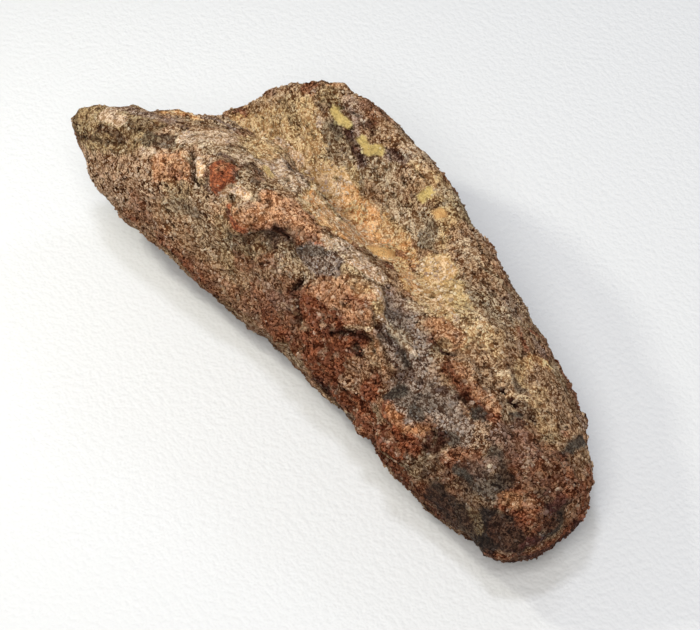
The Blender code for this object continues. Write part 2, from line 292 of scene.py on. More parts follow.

# Mineral patches in the order they were laid down: mineral, strength, radius in mm, and the points
# in mm of the line that the patch follows.
# A dark patch that runs along a cut or a hole of CARVINGS is painted shade in that recess.
PATCHES = (
    # the outer wall of the root and the flank below it
    ("pink", 1.0, 4.97, (-34.6, -17.6, 16.2), (-25.9, -15.9, 18.9), (-19.4, -13.1, 22.7)),
    ("brown", 1.0, 4.14, (-19.3, -15, 16.5), (-13.4, -12.9, 15.7), (-7.5, -11.6, 15.4)),
    ("rust", 0.5, 2.21, (-25.4, -16.6, 15), (-17.5, -15.1, 11.1), (-8.8, -13.2, 10.5),
     (0.5, -12.7, 12.2)),
    ("rust", 0.5, 1.24, (-28.2, -17.3, 12.6), (-21.8, -16.1, 12.1), (-14.5, -14.8, 10.5)),
    ("olive", 1.0, 3.04, (-39.3, -16, 19.1), (-34, -14.4, 21.7), (-30, -12.1, 23.6)),
    ("olive", 0.7, 1.1, (-40.7, -16.1, 19.1), (-39.2, -16.2, 18.5)),
    ("dark", 0.35, 1.24, (-41.8, -16.3, 18.7), (-40.8, -16.6, 16.3)),
    ("purple", 0.8, 0.83, (-37.3, -12.4, 21.7), (-34.5, -10.9, 22.6), (-31.4, -9.8, 23.3),
     (-29.1, -8.6, 23.6)),
    ("dark", 0.5, 1.1, (-32.7, -13.1, 22.8), (-30.2, -11.9, 23.6), (-28.4, -10.9, 23.9)),
    ("dark", 0.75, 0.69, (-36.3, -15.6, 20.6), (-34.1, -14.8, 21.3), (-32.7, -14.5, 21.4)),
    ("pale", 0.85, 0.97, (-37.2, -14.3, 21.4), (-35.9, -13.6, 22.1), (-34.4, -13.2, 22.3)),
    ("pale", 0.8, 0.41, (-37.6, -13.1, 21.7), (-36.3, -12.7, 22.2)),
    ("dark", 0.6, 0.41, (-40.1, -16.7, 16.6), (-36.6, -16.5, 19), (-33.7, -15.8, 20.2),
     (-32.1, -14.6, 20.7), (-31.4, -14, 21.8)),
    ("slate", 0.65, 1.04, (-28.6, -12.9, 23.4), (-27.2, -12, 23.8), (-25.4, -11, 24.2)),
    ("grey", 0.9, 0.55, (-24.5, -11.6, 24.2), (-23.5, -10.7, 24.9)),
    ("pale", 0.9, 0.55, (-28.1, -14.1, 22.4), (-26.8, -13.5, 22.7), (-25.4, -13, 23)),
    ("pink", 0.8, 0.83, (-27.9, -10.6, 23.9), (-27.9, -8.8, 23.9)),
    ("pale", 0.95, 1.66, (-24.6, -9.1, 24.7), (-23.5, -7.1, 24.5), (-21.9, -4.7, 24.4)),
    ("pale", 0.65, 1.1, (-21.3, -8.5, 25.2), (-20, -7.2, 25.2), (-18.1, -6.1, 25.3)),
    ("grey", 0.5, 0.83, (-20.9, -8.9, 25.3), (-19.6, -6.7, 25.2), (-19.7, -4.7, 24.8)),
    ("pale", 0.5, 1.24, (-24.7, -7.5, 24.3), (-23.2, -6, 24.5)),
    ("orange", 1.0, 0.41, (-32.2, -8.1, 22.4), (-31.2, -6.4, 22.2), (-30, -5.3, 22), (-28.5, -4.6, 22)),
    ("rust", 0.8, 0.28, (-30.6, -6.2, 22.2), (-29.8, -5.2, 21.9)),
    ("purple", 1.0, 0.44, (-28.6, -4.3, 21.9), (-27.5, -3.1, 22), (-26, -2.6, 21.9),
     (-23.7, -2.7, 22.8)),
    ("dark", 1.0, 0.55, (-26.6, -8.2, 24.1)),
    ("salmon", 0.9, 1.79, (-24.3, -13.7, 22.4), (-22, -12.9, 23.1), (-21.7, -12.2, 24.2)),
    ("rust", 0.5, 0.83, (-22.3, -13.1, 22.6), (-20.8, -12.9, 23)),
    ("salmon", 1.0, 0.55, (-22.4, -11.3, 24.9), (-20.8, -11.8, 24.4), (-19.9, -12.5, 23.5)),
    ("cream", 0.9, 0.33, (-22.3, -11, 25), (-21.1, -11.2, 24.7)),
    ("cream", 1.0, 0.55, (-20, -10.4, 24.9), (-18.8, -10.9, 25), (-18.3, -11.6, 24.4)),
    ("olive", 0.8, 0.55, (-18, -11.9, 23.9), (-17, -11.9, 23.7)),
    ("grey", 0.8, 1.52, (-20.9, -14.9, 18.6), (-18.2, -13.9, 20.3)),
    ("grey", 0.6, 1.66, (-16.9, -12.5, 22.6), (-15, -13.4, 16.5), (-13.3, -13, 15.4)),
    ("slate", 0.35, 1.24, (-20, -14.3, 19.5), (-17.2, -13.6, 20)),
    ("olive", 0.6, 1.24, (-21.5, -14.1, 20.9), (-18.8, -13.4, 22.1)),
    ("olive", 0.6, 1.38, (-12.6, -12.1, 21.1), (-11.8, -12.2, 17.7), (-11.2, -12.5, 15.1)),
    ("grey", 0.6, 1.66, (-8.9, -11.3, 18.4), (-10.6, -11.6, 19.3)),
    ("salmon", 0.35, 0.97, (-27.1, -17.1, 13.3), (-25.5, -16.7, 13)),
    ("rust", 0.8, 0.48, (-27.5, -17.1, 12.3), (-26.6, -16.9, 12.6)),
    ("pink", 0.7, 0.83, (-25.2, -16.6, 12.4), (-23.5, -16.2, 12.6)),
    ("dark_red", 0.7, 0.28, (-20.4, -15.9, 11.9), (-20.1, -15.7, 11.5)),
    # the red and the pink nodule, and the brink beside them
    ("grey", 0.8, 1.79, (-13.2, -7.2, 26.2), (-10.4, -7.4, 26), (-11, -8.7, 25.9)),
    ("pale", 0.8, 0.97, (-16.5, -6.2, 25.5), (-16.3, -4.4, 24.9), (-15, -4.2, 24.9)),
    ("dark", 0.6, 0.69, (-14.3, -6.2, 25.9), (-12.3, -6.6, 26), (-12.2, -7.2, 26.2)),
    ("slate", 0.6, 0.69, (-8.9, -8.1, 25.6)),
    ("red", 1.0, 1.79, (-16.3, -9.8, 26.6), (-15.3, -9.5, 26.7)),
    ("red", 1.0, 1.24, (-15.8, -10.9, 26.1), (-14.9, -11.5, 25.2)),
    ("dark_red", 0.7, 0.36, (-18.5, -10.3, 25.2), (-17.2, -11.4, 24.5), (-16, -11.7, 23.7)),
    ("dark_red", 0.7, 0.36, (-19.1, -7.5, 25.4), (-17.3, -7.2, 25.6)),
    # a painted highlight on the top of the red nodule
    ("salmon", 0.5, 0.41, (-15.9, -10.1, 26.5), (-16.3, -9, 26.7)),
    ("purple", 0.5, 0.55, (-14.5, -8.6, 26.3)),
    ("cream", 0.9, 0.62, (-13.9, -10.8, 24.6), (-13.5, -10.1, 25.4), (-12.3, -9.4, 25.6),
     (-11, -9.2, 25.5)),
    ("salmon", 1.0, 1.38, (-9.7, -10.9, 24.4), (-8.7, -10.4, 24), (-8, -10, 23.5)),
    ("pink", 1.0, 0.69, (-10.5, -10.2, 25), (-9.8, -9.6, 25.1)),
    ("red", 0.95, 0.5, (-12.5, -11.2, 23.6), (-11.5, -11.7, 23), (-10.1, -11.8, 22.7),
     (-8.8, -11.3, 22.5)),
    ("dark_red", 0.9, 0.25, (-12.5, -11.3, 23.3), (-11.7, -11.7, 22.7)),
    ("bone", 0.95, 1.66, (-17.8, -2.3, 24.2), (-13.1, -2.5, 24.6), (-9.4, -2.6, 24.8)),
    ("pale", 0.85, 1.24, (-19.2, -2.6, 24.3), (-16, -2.6, 24.1), (-12.2, -2.7, 24.8),
     (-9.2, -2.5, 24.6)),
    ("cream", 0.8, 0.97, (-24.1, 4.3, 16.4), (-21.2, 4.2, 16.6), (-18.4, 4.3, 16.3)),
    ("pink", 0.5, 0.55, (-11.8, -2.2, 24.8), (-8.7, -2.6, 24.4)),
    ("cream", 0.9, 0.9, (-14, -4.3, 25.1), (-12.8, -4.4, 25.1)),
    ("pale", 0.6, 1.1, (-15.8, -2.4, 24.1), (-12.8, -2.7, 24.6), (-10.3, -2.6, 24.8)),
    ("lime", 0.75, 0.63, (-13.8, -4.4, 25.2), (-12.8, -4.5, 25.2)),
    ("salmon", 1.0, 2.07, (-8.1, -7.8, 25.6), (-5.7, -6.4, 25.4), (-2.7, -6.3, 25.1)),
    ("salmon", 1.0, 1.66, (-7.8, -9.2, 24.3), (-5.1, -7.6, 25), (-1.4, -6.4, 24.9)),
    ("rust", 0.5, 0.83, (-7.7, -9.9, 23), (-6.3, -9.1, 24.1)),
    ("pale", 0.5, 0.97, (-11.5, -3.5, 24.8), (-9.6, -3.6, 25.1)),
    ("rust", 0.6, 0.83, (-2.3, -7.4, 24.8), (-0.8, -6.3, 24.7)),
    ("red", 0.8, 0.55, (-0.3, -6.8, 24.5), (0.4, -6, 24.4)),
    # the inner side of the far wall, from its rim down
    ("ochre", 1.0, 4.14, (-29.5, 4.3, 15.7), (-23.7, 5.2, 18.1), (-20.8, 5.6, 18.4)),
    ("ochre", 1.0, 3.31, (-19, -1.5, 24.2), (-19.6, 4.7, 17.2), (-16.6, 5.5, 17.3)),
    ("cream", 0.75, 0.97, (-24.1, 4.2, 15.9), (-21.5, 4.1, 16.4), (-19.4, 4.2, 16.3)),
    ("brown", 0.8, 1.24, (-33.1, 4.5, 15.4), (-29.9, 5.8, 18.5), (-26.1, 6.9, 21.1)),
    ("olive", 0.8, 1.66, (-25, 6.7, 20.8), (-22.8, 6.4, 20.4)),
    ("ochre", 1.0, 1.66, (-22.4, 7.6, 22.3), (-20.4, 7.3, 21.4)),
    ("rust", 0.9, 0.69, (-33.3, 3.9, 14.8), (-32.1, 4.1, 15.1)),
    ("orange", 0.8, 0.41, (-32.2, 3.7, 14.7)),
    ("pale", 0.6, 0.41, (-29.4, 6.5, 19.8), (-27, 7.1, 21.1)),
    ("rust", 0.6, 0.55, (-30.4, 6.5, 19), (-28.6, 6.8, 20.2)),
    ("rust", 0.8, 0.97, (-24.1, 8.8, 23.4), (-22.8, 9, 24.3)),
    ("salmon", 0.8, 0.55, (-21.1, 10.4, 25.6), (-19.9, 11.4, 26)),
    ("olive", 0.8, 1.38, (-20.6, 9.5, 25), (-18.9, 9.9, 25.1)),
    ("brown", 0.9, 1.93, (-18.3, 12, 25.5), (-14.2, 12.4, 25.7), (-11.2, 12.7, 25.3)),
    ("purple", 0.6, 0.97, (-17.3, 10.3, 25.4), (-15.5, 11.1, 25.7)),
    ("rust", 0.55, 1.66, (-14.8, 12.8, 25.6), (-11.6, 12.7, 25.3)),
    ("slate", 0.35, 0.69, (-20.2, 8.4, 23.5), (-19.3, 8.9, 23.9)),
    ("grey", 1.0, 1.79, (-17, 7.7, 21.7), (-15.5, 7.9, 21), (-15.4, 7.3, 20)),
    ("slate", 0.3, 1.24, (-17.5, 8.1, 22.6), (-15.7, 7.8, 20.9), (-13.8, 7.3, 19.5)),
    ("slate", 0.5, 0.83, (-15.6, 8.3, 21.9), (-16.9, 8.3, 22.6)),
    ("pale", 1.0, 0.55, (-19.6, 7.7, 22.2), (-18.9, 7.5, 21.8)),
    ("grey", 1.0, 2.21, (-13.7, 7.8, 20.2), (-9.2, 7.6, 20.9), (-5.7, 9.8, 23)),
    ("pale", 0.3, 1.66, (-6.9, 12.2, 24.8), (-5.2, 13, 24.6)),
    ("pale", 0.5, 0.69, (-13.9, 7.4, 19.6), (-12.3, 7.2, 19.4)),
    ("purple", 1.0, 0.83, (-14.5, 9.9, 24.3), (-13.4, 8.9, 22.9), (-12.3, 8.5, 21.9),
     (-10.5, 8.1, 21.3)),
    ("purple", 0.9, 0.69, (-15.6, 10.2, 25), (-14, 10.6, 24.7)),
    ("dark", 0.8, 0.83, (-12.7, 11, 24.7), (-11.5, 11, 24.7)),
    ("brown", 1.0, 1.66, (-10.4, 12.1, 25.3), (-7.9, 12.1, 24.8)),
    ("purple", 1.0, 0.83, (-8.1, 10.4, 23.6), (-6.5, 11.1, 24.3), (-4.5, 11.2, 24.4)),
    ("pale", 0.45, 1.1, (-8.7, 9, 22.2), (-6.5, 9.6, 22.7)),
    ("dark", 0.9, 0.55, (-14.7, 9.3, 23.4), (-13.7, 8.5, 22.1), (-11, 8.2, 21.3)),
    ("dark", 0.8, 0.48, (-7.9, 10.9, 24), (-5.9, 11.3, 24.4)),
    ("lime", 1.0, 0.61, (-18.2, 9.1, 24), (-17, 9, 23.7), (-15.3, 9.2, 23.7)),
    ("lime", 1.0, 0.72, (-12.3, 9.3, 23.2), (-11, 9.1, 22.6), (-9.5, 10, 23.3)),
    ("ochre", 0.8, 1.93, (-3, 11.6, 24.5), (-0.1, 12, 24.2), (2.3, 12, 23.3)),
    ("pink", 0.7, 1.24, (-5.6, 13.1, 24.7), (-2.7, 13, 24.4)),
    ("pale", 0.4, 1.38, (-6.4, 12.6, 24.9), (-4.6, 12.8, 24.6)),
    ("brown", 0.7, 1.24, (-3.4, 10.4, 23.6), (-1.4, 10.8, 23.8)),
    ("pink", 0.6, 1.1, (-4.8, 9.6, 22.7), (-4.4, 10.2, 23.5)),
    ("grey", 0.7, 1.24, (1.2, 12.4, 23.6), (2.1, 12.9, 23.1)),
    ("olive", 0.8, 1.93, (2.8, 10.5, 22.5), (6.1, 9.5, 21.5), (5, 12.2, 22.4)),
    ("ochre", 0.7, 1.66, (4, 9.6, 21.4), (7.2, 9.5, 21.5)),
    ("lime", 0.95, 0.76, (-0.4, 9.9, 22.5), (0.1, 10.6, 23.3)),
    ("pebble", 1.0, 0.63, (2.7, 10.1, 22.1), (3.1, 10.5, 22.4)),
    ("pebble", 0.8, 0.55, (3.9, 4.1, 18)),
    ("brown", 0.8, 1.38, (-7.3, 7.3, 19.1), (-5, 7.7, 19.6)),
    ("pale", 0.45, 1.24, (-5.7, 8.5, 21.2), (-4.1, 8.8, 21.4)),
    ("pale", 0.6, 1.24, (-6.6, 6.2, 17.3), (-5, 6.6, 17.7)),
    ("grey", 0.9, 1.66, (-3.6, 7.8, 19.5), (-1.4, 7.7, 19.7), (0.5, 7.3, 19.2)),
    ("pale", 0.6, 1.1, (-3.3, 7.8, 19.6), (-1.1, 7.5, 19.4)),
    ("grey", 1.0, 1.79, (2, 8.8, 20.7), (3.7, 8, 20)),
    ("pale", 0.35, 1.66, (1, 7.8, 19.7), (2.7, 7.8, 19.7)),
    ("slate", 0.5, 1.24, (3.7, 7.5, 19.6), (3.3, 8.8, 20.7)),
    # the sandy floor of the hollow
    ("yellow", 1.0, 2.07, (-16, 4.5, 15.6), (-13, 5.6, 16.9), (-11.2, 6.4, 18.2)),
    ("cream", 0.5, 1.24, (-14.7, 4.7, 15.4), (-12.4, 5.3, 16.6)),
    ("grey", 0.55, 1.1, (-11.9, 7.2, 19.6), (-10.3, 7, 19.6)),
    ("yellow", 0.8, 1.66, (-6.5, -2.9, 23.8), (-8.5, -0.2, 22.7)),
    ("orange", 1.0, 1.38, (-7.3, -2, 23.5), (-4.9, -1, 22.3), (-1.4, -1.2, 21.9)),
    ("salmon", 0.4, 1.1, (-5.2, -2.9, 23.7), (-0.5, -2.9, 23.5), (1.7, -1.8, 22.5)),
    ("orange", 1.0, 2.76, (-9.8, 4.9, 16), (-6.9, 3.6, 16.1), (-4.2, 5.1, 16.5)),
    ("orange", 1.0, 2.07, (-1.9, -1.6, 22.5), (-2.3, 4.2, 16.4), (0.5, 5.3, 17.3)),
    ("yellow", 0.4, 1.24, (-4.6, -1.9, 23), (-10.6, 5.5, 16.6)),
    ("yellow", 0.7, 1.38, (-14.3, 4.4, 15.2), (-12.4, 5, 16.1)),
    ("orange", 1.0, 1.1, (-5, -3, 23.7), (-3.3, -3.3, 24.1)),
    ("salmon", 0.4, 1.24, (-8.7, 5.2, 16.2), (-6.9, 5.1, 16.3)),
    ("ochre", 0.7, 1.24, (-2.9, 6.2, 17.4), (0, 6.4, 18)),
    ("orange", 1.0, 1.93, (2.7, 3.1, 18.2), (3.9, 4.1, 18)),
    ("rust", 0.2, 1.24, (1, 4.4, 17.8), (1.9, 4.8, 17.3)),
    ("rust", 0.75, 1.24, (2.2, 4.1, 17.5), (5, 3.2, 18.8), (5.8, 1.1, 20.6)),
    ("pebble", 1.0, 1.1, (0.5, 1.9, 18.5), (1.5, 3, 18.6)),
    ("yellow", 1.0, 2.35, (8.2, 5.5, 19.8), (11.4, 4.9, 20), (15.1, 3, 21.1)),
    ("ochre", 1.0, 1.38, (7.6, 2.5, 19.8), (10.8, 1.3, 20.2), (14.2, 0.9, 20.8), (16.1, 0.9, 21)),
    ("yellow", 0.6, 1.1, (9.8, 2.7, 19.8), (13.7, 1.5, 20.6)),
    ("orange", 0.8, 1.1, (3.6, 3.4, 18.1), (7.4, 1.5, 20.5), (9.6, 1.1, 20.4)),
    ("lime", 0.35, 1.38, (11.7, 5.3, 20.2), (14.3, 4, 21)),
    ("ochre", 0.35, 1.1, (11.9, 4.5, 20.2), (14.4, 3.5, 21)),
    ("cream", 0.4, 1.79, (18.2, 3.3, 21.4), (20.2, 3.2, 21.1), (21.3, 2.1, 20.2)),
    ("ochre", 0.8, 2.21, (20.2, 2.5, 20.7), (22.1, 3.3, 20.1)),
    ("olive", 0.6, 1.1, (15.8, 3.9, 21.1), (17.9, 3.5, 21.5)),
    # the crest over the flank and the cavity under the brink, with painted shade in the cavity
    # painted shade in the cavity under the brink and in the cut beside it
    ("dark", 0.5, 1.93, (-9.8, -11.4, 19.3), (-7.1, -9.8, 21.6), (-3.7, -8.6, 23.9)),
    ("olive", 0.4, 1.38, (-9, -11.3, 18.3), (-5.7, -9.9, 20.7)),
    ("slate", 0.5, 1.38, (-6.1, -9.6, 22.4), (-3.7, -8.6, 23.9), (-2.9, -8.5, 22.3)),
    ("dark", 0.9, 0.62, (-5.6, -8.8, 24.2), (-4.1, -8.7, 24), (-2.8, -8.5, 23.2)),
    ("rust", 0.55, 0.97, (-5.8, -10.8, 19), (-4.6, -10, 20.3)),
    ("grey", 0.8, 2.21, (-2.3, -8.9, 21), (0.5, -7.8, 22.2), (2.6, -7.1, 23.1)),
    ("bone", 1.0, 1.79, (-0.3, -8.1, 23.3), (1.5, -7.3, 23.3), (2.7, -6.4, 23.9)),
    ("slate", 0.7, 0.62, (-1.3, -8.1, 24), (0.3, -7, 24.1), (1.3, -6.2, 24.3)),
    ("pale", 1.0, 1.38, (0.3, -4.7, 24.4), (1.8, -3.5, 23.8), (3.7, -2.6, 23)),
    ("bone", 0.4, 0.83, (1.4, -4.5, 24.3), (2.3, -3.7, 23.9)),
    ("cream", 0.8, 1.1, (4.9, -4.7, 24), (5.7, -3.2, 23.4), (6.9, -2.5, 22.9)),
    ("cream", 0.3, 0.97, (2.5, -4.5, 24.3), (3.8, -3.9, 23.9)),
    ("olive", 0.6, 0.83, (4.6, -5.6, 24), (6.2, -5, 24)),
    ("dark", 0.8, 0.28, (3.6, -5.7, 24.2), (4, -6.2, 23.8)),
    ("pale", 0.7, 0.47, (3.6, -2.3, 22.7), (5.8, -1.7, 22.5), (7.3, -1.6, 22.3)),
    # the iron crust on the flank
    ("rust", 0.75, 2.76, (-4.4, -11.9, 14.7), (-1.7, -11.8, 12.7), (2.5, -12.1, 13.7)),
    ("rust", 0.8, 1.66, (-2.2, -10.9, 17), (1.6, -11, 17.7)),
    ("dark", 0.4, 1.24, (-0.8, -10.7, 17.2), (1.5, -11.1, 17.6)),
    ("rust", 0.6, 1.38, (-9.3, -11.8, 16.8), (-6.6, -11.2, 17), (-3.7, -11.1, 16.9)),
    ("purple", 0.4, 1.1, (-3.6, -11.5, 15.8), (0.2, -11.5, 16.9)),
    ("grey", 0.4, 1.38, (-6.1, -11.3, 16.1), (-2.7, -10.6, 17.9)),
    ("rust", 0.35, 1.38, (-1.4, -9.9, 19.2), (-0.5, -9.7, 19)),
    ("rust", 1.0, 3.59, (5, -9.3, 19.9), (8.9, -8.7, 20.1), (10.1, -10.3, 17.1)),
    ("dark", 0.25, 1.24, (3.1, -12, 14.9), (5, -11.8, 15)),
    ("rust", 1.0, 3.31, (7.5, -11.5, 15.3), (11.7, -10.7, 14.6), (14.7, -10.3, 14.9)),
    ("salmon", 0.75, 1.66, (3.7, -7.9, 21), (7.6, -7.7, 22.2), (9.7, -6.7, 22.6)),
    ("salmon", 0.6, 1.1, (9.1, -8.1, 21), (11.5, -7.6, 22.5)),
    ("salmon", 0.8, 1.1, (5.7, -6.8, 22.9), (7.8, -5.9, 23.6), (9.9, -5.3, 23.6)),
    ("ochre", 0.45, 0.83, (7.1, -5.7, 23.8), (8.9, -4.9, 23.8)),
    ("cream", 0.8, 0.69, (9.3, -4.2, 23.7), (10.6, -4.4, 22.9)),
    ("ochre", 0.8, 0.69, (11, -5.4, 22.9), (11.5, -5.2, 22.4)),
    ("rust", 0.8, 0.83, (8.1, -7, 22.2), (10.3, -6.6, 23)),
    ("cream", 0.45, 0.33, (9.4, -8.8, 19.7), (11.1, -8, 20.7), (12.9, -7.6, 21.9)),
    ("dark", 0.7, 0.62, (7.8, -10.2, 18.2), (10.1, -8.8, 19.4), (12.3, -8, 19.9)),
    ("brown", 0.6, 1.38, (12.7, -9.9, 16.3), (13.1, -11, 13.9), (14.5, -8.7, 18.8)),
    ("salmon", 0.5, 0.55, (13.9, -7.8, 20.5), (15.7, -7.8, 19), (17, -8.3, 17.7)),
    ("dark", 1.0, 0.55, (11.7, -9.2, 18.7), (12.8, -9.4, 18.4)),
    ("purple", 0.5, 0.41, (11.9, -9.6, 18.3)),
    # painted shade in two cuts of the crust
    ("dark", 0.9, 0.55, (-0.2, -10.2, 18.1), (0.2, -9.3, 19.4)),
    ("dark", 0.7, 0.62, (1.1, -10.3, 18.3), (2.8, -11.4, 16.5)),
    ("dark", 0.7, 0.69, (11.5, -11.6, 12.4), (13.4, -11.8, 11.7), (14.5, -11.7, 11.2)),
    ("olive", 0.7, 0.97, (1.2, -12.8, 11.6), (4.7, -12.8, 12.6), (7, -12.3, 11.1)),
    ("rust", 0.8, 1.1, (0.9, -12.3, 12.6), (5, -12.7, 12.6), (7.9, -12.1, 10.7), (11.7, -11.5, 9.3)),
    ("rust", 0.9, 1.66, (7.2, -12.5, 12.7), (10.6, -11.5, 10.2), (16.4, -11.8, 11.9),
     (21, -12.6, 13.2)),
    ("dark", 0.3, 1.38, (24.2, -12.5, 12.9), (25.7, -12.1, 12.2)),
    ("dark", 0.85, 1.24, (8, -12.1, 9.9), (11.9, -10.8, 7), (20.5, -11.8, 8.7), (27.2, -11.5, 8.6)),
    ("bright_rust", 0.85, 1.38, (19.9, -10.6, 16.5), (22.1, -10.7, 15.9), (23.7, -10.4, 15.1)),
    ("rust", 1.0, 1.1, (24.3, -10.4, 14.8), (25.7, -10.9, 14.7)),
    ("bright_rust", 0.6, 0.97, (24.1, -9.2, 15.6), (25.4, -8.7, 15.6)),
    ("orange", 0.25, 0.83, (23.8, -9.3, 15.6), (25, -8.7, 15.6)),
    ("orange", 0.2, 0.83, (20.6, -10.5, 16.3), (23.1, -10.3, 15.6)),
    ("rust", 1.0, 1.24, (21.5, -12, 14), (24.3, -12.3, 13.2)),
    ("rust", 0.6, 0.97, (24, -7.8, 16.2), (25.5, -7.3, 16.3)),
    # bare grey dentine below the crust
    ("bone", 1.0, 2.35, (11.6, -3.3, 20.8), (14.4, -4.7, 20.7), (17.2, -5.4, 20.2)),
    ("bone", 1.0, 2.76, (17.4, -4.9, 20.1), (19.8, -5.7, 18.6), (22.1, -6.5, 17.7)),
    ("bone", 1.0, 2.07, (24.1, -5.7, 17.8), (26.2, -5.5, 17.2), (28.4, -5.9, 16.6)),
    ("bone", 0.9, 1.93, (19.8, -8.1, 17.4), (22.2, -8.4, 16.8)),
    ("purple", 0.7, 0.97, (9.2, -2.4, 22), (10.5, -2.1, 21.1), (11.5, -2, 20.5)),
    ("salmon", 0.6, 0.41, (10, -0.4, 21), (11.1, -0, 20.7)),
    ("pale", 0.7, 0.62, (11.9, -1, 21), (13.1, -0.4, 21)),
    ("pale", 0.9, 0.39, (12.1, -5.6, 22.2), (13.6, -5.2, 21), (15.7, -5.1, 20.5), (17.9, -4.8, 19.8)),
    ("dark", 0.8, 0.33, (12.9, -6.6, 22.1), (14.5, -6.3, 20.8), (16.5, -6, 19.9)),
    ("slate", 0.4, 1.24, (12.4, -4.2, 21.4), (15.3, -4.8, 20.5)),
    ("slate", 0.6, 0.69, (16.5, -6, 19.9), (18.1, -6.3, 19.1)),
    ("dark", 0.6, 0.55, (18.6, -6.4, 18.5), (20.4, -5.9, 18.3)),
    ("pale", 0.5, 0.55, (14.4, -4.7, 20.7), (16, -4.1, 20.3)),
    ("slate", 0.9, 0.83, (19, -9.6, 16.6), (19.6, -8.2, 17.3)),
    ("slate", 0.7, 0.83, (22.4, -8.6, 16.7), (23.4, -8.4, 16.4)),
    ("slate", 0.5, 1.24, (19.7, -8.6, 17), (22, -7.8, 17.2), (23.2, -6.8, 17.4)),
    ("purple", 0.35, 1.1, (23, -5.5, 18.4), (24.6, -4.3, 18.4), (26.1, -3.9, 18.6)),
    ("slate", 0.35, 1.24, (22.3, -5.8, 18.4), (24.8, -5, 17.7)),
    ("dark", 0.6, 0.55, (22.6, -5.2, 18.6), (23.9, -4.1, 18.7), (25.3, -3.7, 18.7)),
    ("slate", 0.8, 0.97, (27.3, -7.5, 15.9), (28.4, -7.1, 16)),
    ("pink", 0.5, 1.1, (21, -4, 19.1), (20.7, -3.1, 20.1)),
    ("dark", 0.7, 0.55, (17.8, -7.5, 18.5), (18.8, -7.1, 18.1)),
    # the iron knobs beside it and the ground to their right
    ("salmon", 0.9, 1.24, (16.4, -0.5, 21), (17.8, 0.2, 20.7), (19.1, 0.3, 20.3)),
    ("rust", 0.8, 0.83, (17.4, -1.9, 20.5), (18.3, -0.7, 19.7)),
    ("purple", 0.5, 0.47, (18.5, 0.9, 20.5)),
    ("olive", 0.7, 1.1, (19.1, -2.6, 20.5), (18.5, -0.8, 19.5)),
    ("dark", 1.0, 0.62, (19.6, -1.9, 20.4), (20.7, -1.2, 20.4)),
    ("brown", 0.9, 2.35, (23.2, 0.9, 19.7), (25.3, 1.2, 18.9), (26.9, 1.3, 17.4)),
    ("rust", 0.9, 1.1, (22, -2.7, 20.3), (23.4, -2.5, 20.2), (24.7, -2.6, 19.2)),
    ("rust", 1.0, 1.1, (25.4, -2.2, 19.2), (27.4, -2, 18.9), (29.5, -1.8, 18.6)),
    ("salmon", 0.7, 0.55, (22.6, -2, 20.8), (24.1, -1.8, 20.3), (25.1, -1.7, 19.7)),
    ("salmon", 0.8, 0.76, (26.4, -1.8, 19.2), (28.3, -1.5, 19), (29.4, -1.4, 18.7)),
    ("dark", 0.8, 0.62, (25.7, -3.1, 18.7), (27.5, -3.3, 18.4)),
    ("cream", 0.35, 0.83, (25.4, 2.3, 18.9), (26.4, 2.8, 18.5)),
    ("cream", 0.3, 0.97, (28.7, 1.6, 17.8), (30, 2.7, 17.6)),
    # painted shade in two holes among the knobs
    ("dark", 1.0, 0.5, (26.9, 1.6, 17.5)),
    ("dark", 1.0, 0.58, (28.6, 1.1, 17.7), (29.6, 1.2, 17.9)),
    ("slate", 0.75, 0.97, (26.7, 4.1, 18.2), (28.1, 3.3, 17.9)),
    ("slate", 1.0, 0.9, (28.3, -3.3, 18.2), (29.1, -3.2, 18.1)),
    ("dark", 0.5, 0.55, (28.7, -3.1, 18.2)),
    ("rust", 0.8, 0.69, (29.9, -2.4, 18.3), (31.1, -2.1, 18.1)),
    ("pink", 0.8, 1.24, (30.1, -4.3, 17.6), (31.4, -4.7, 16.9)),
    ("pink", 0.7, 0.97, (31.8, -2.7, 17.8), (33.3, -3.2, 17.1)),
    ("dark", 0.6, 0.62, (31, -3.2, 17.7), (32.1, -3.8, 17.4)),
    ("red", 0.5, 0.41, (31.6, -5.6, 16.3), (32.3, -6.3, 16)),
    # the right flank
    ("brown", 1.0, 2.48, (7.9, 10.6, 21.8), (11.9, 9.8, 21.5)),
    ("pink", 0.7, 1.24, (7.5, 11.6, 21.9), (8, 13, 20.6)),
    ("pale", 0.5, 0.97, (8.3, 10, 21.7), (10.7, 9.7, 21.5)),
    ("grey", 1.0, 2.35, (12.9, 8.2, 21), (16.9, 7.4, 20.6), (18.6, 7.6, 19.9)),
    ("brown", 0.8, 1.24, (11.7, 8.3, 21.2), (14.7, 8.4, 20.7)),
    ("dark", 0.2, 1.1, (13.1, 8.2, 21), (14.7, 8.2, 20.7)),
    ("pale", 0.5, 0.69, (17.1, 8.2, 20.3), (18, 8.4, 19.9)),
    ("salmon", 0.6, 0.83, (13, 11.6, 20.6), (14.7, 11.2, 19.8)),
    ("pink", 0.7, 0.97, (15.6, 9.5, 20.6), (17.3, 9.5, 20)),
    ("purple", 0.5, 1.24, (17.8, 10.2, 19.2), (19.3, 10, 18.3)),
    ("pink", 0.4, 0.97, (20, 7.3, 19.5)),
    ("brown", 0.5, 1.66, (22.3, 5.5, 19.7), (23.9, 5.1, 19.2)),
    ("rust", 0.9, 0.39, (21.3, 8.4, 18.8), (22.8, 7.9, 18.4), (24.1, 7.4, 18.1)),
    ("red", 1.0, 0.39, (21.2, 10.6, 16.8), (21.6, 11.2, 16)),
    ("salmon", 0.6, 0.41, (21.1, 11, 16.5), (21.6, 10.9, 16.5)),
    ("pink", 0.35, 1.52, (26.6, 7.3, 17.3), (27.4, 7.7, 16.7)),
    ("purple", 0.7, 0.83, (23.2, 9.8, 17), (24.3, 9.9, 16.6)),
    ("olive", 0.8, 0.55, (23.1, 11.8, 14.5)),
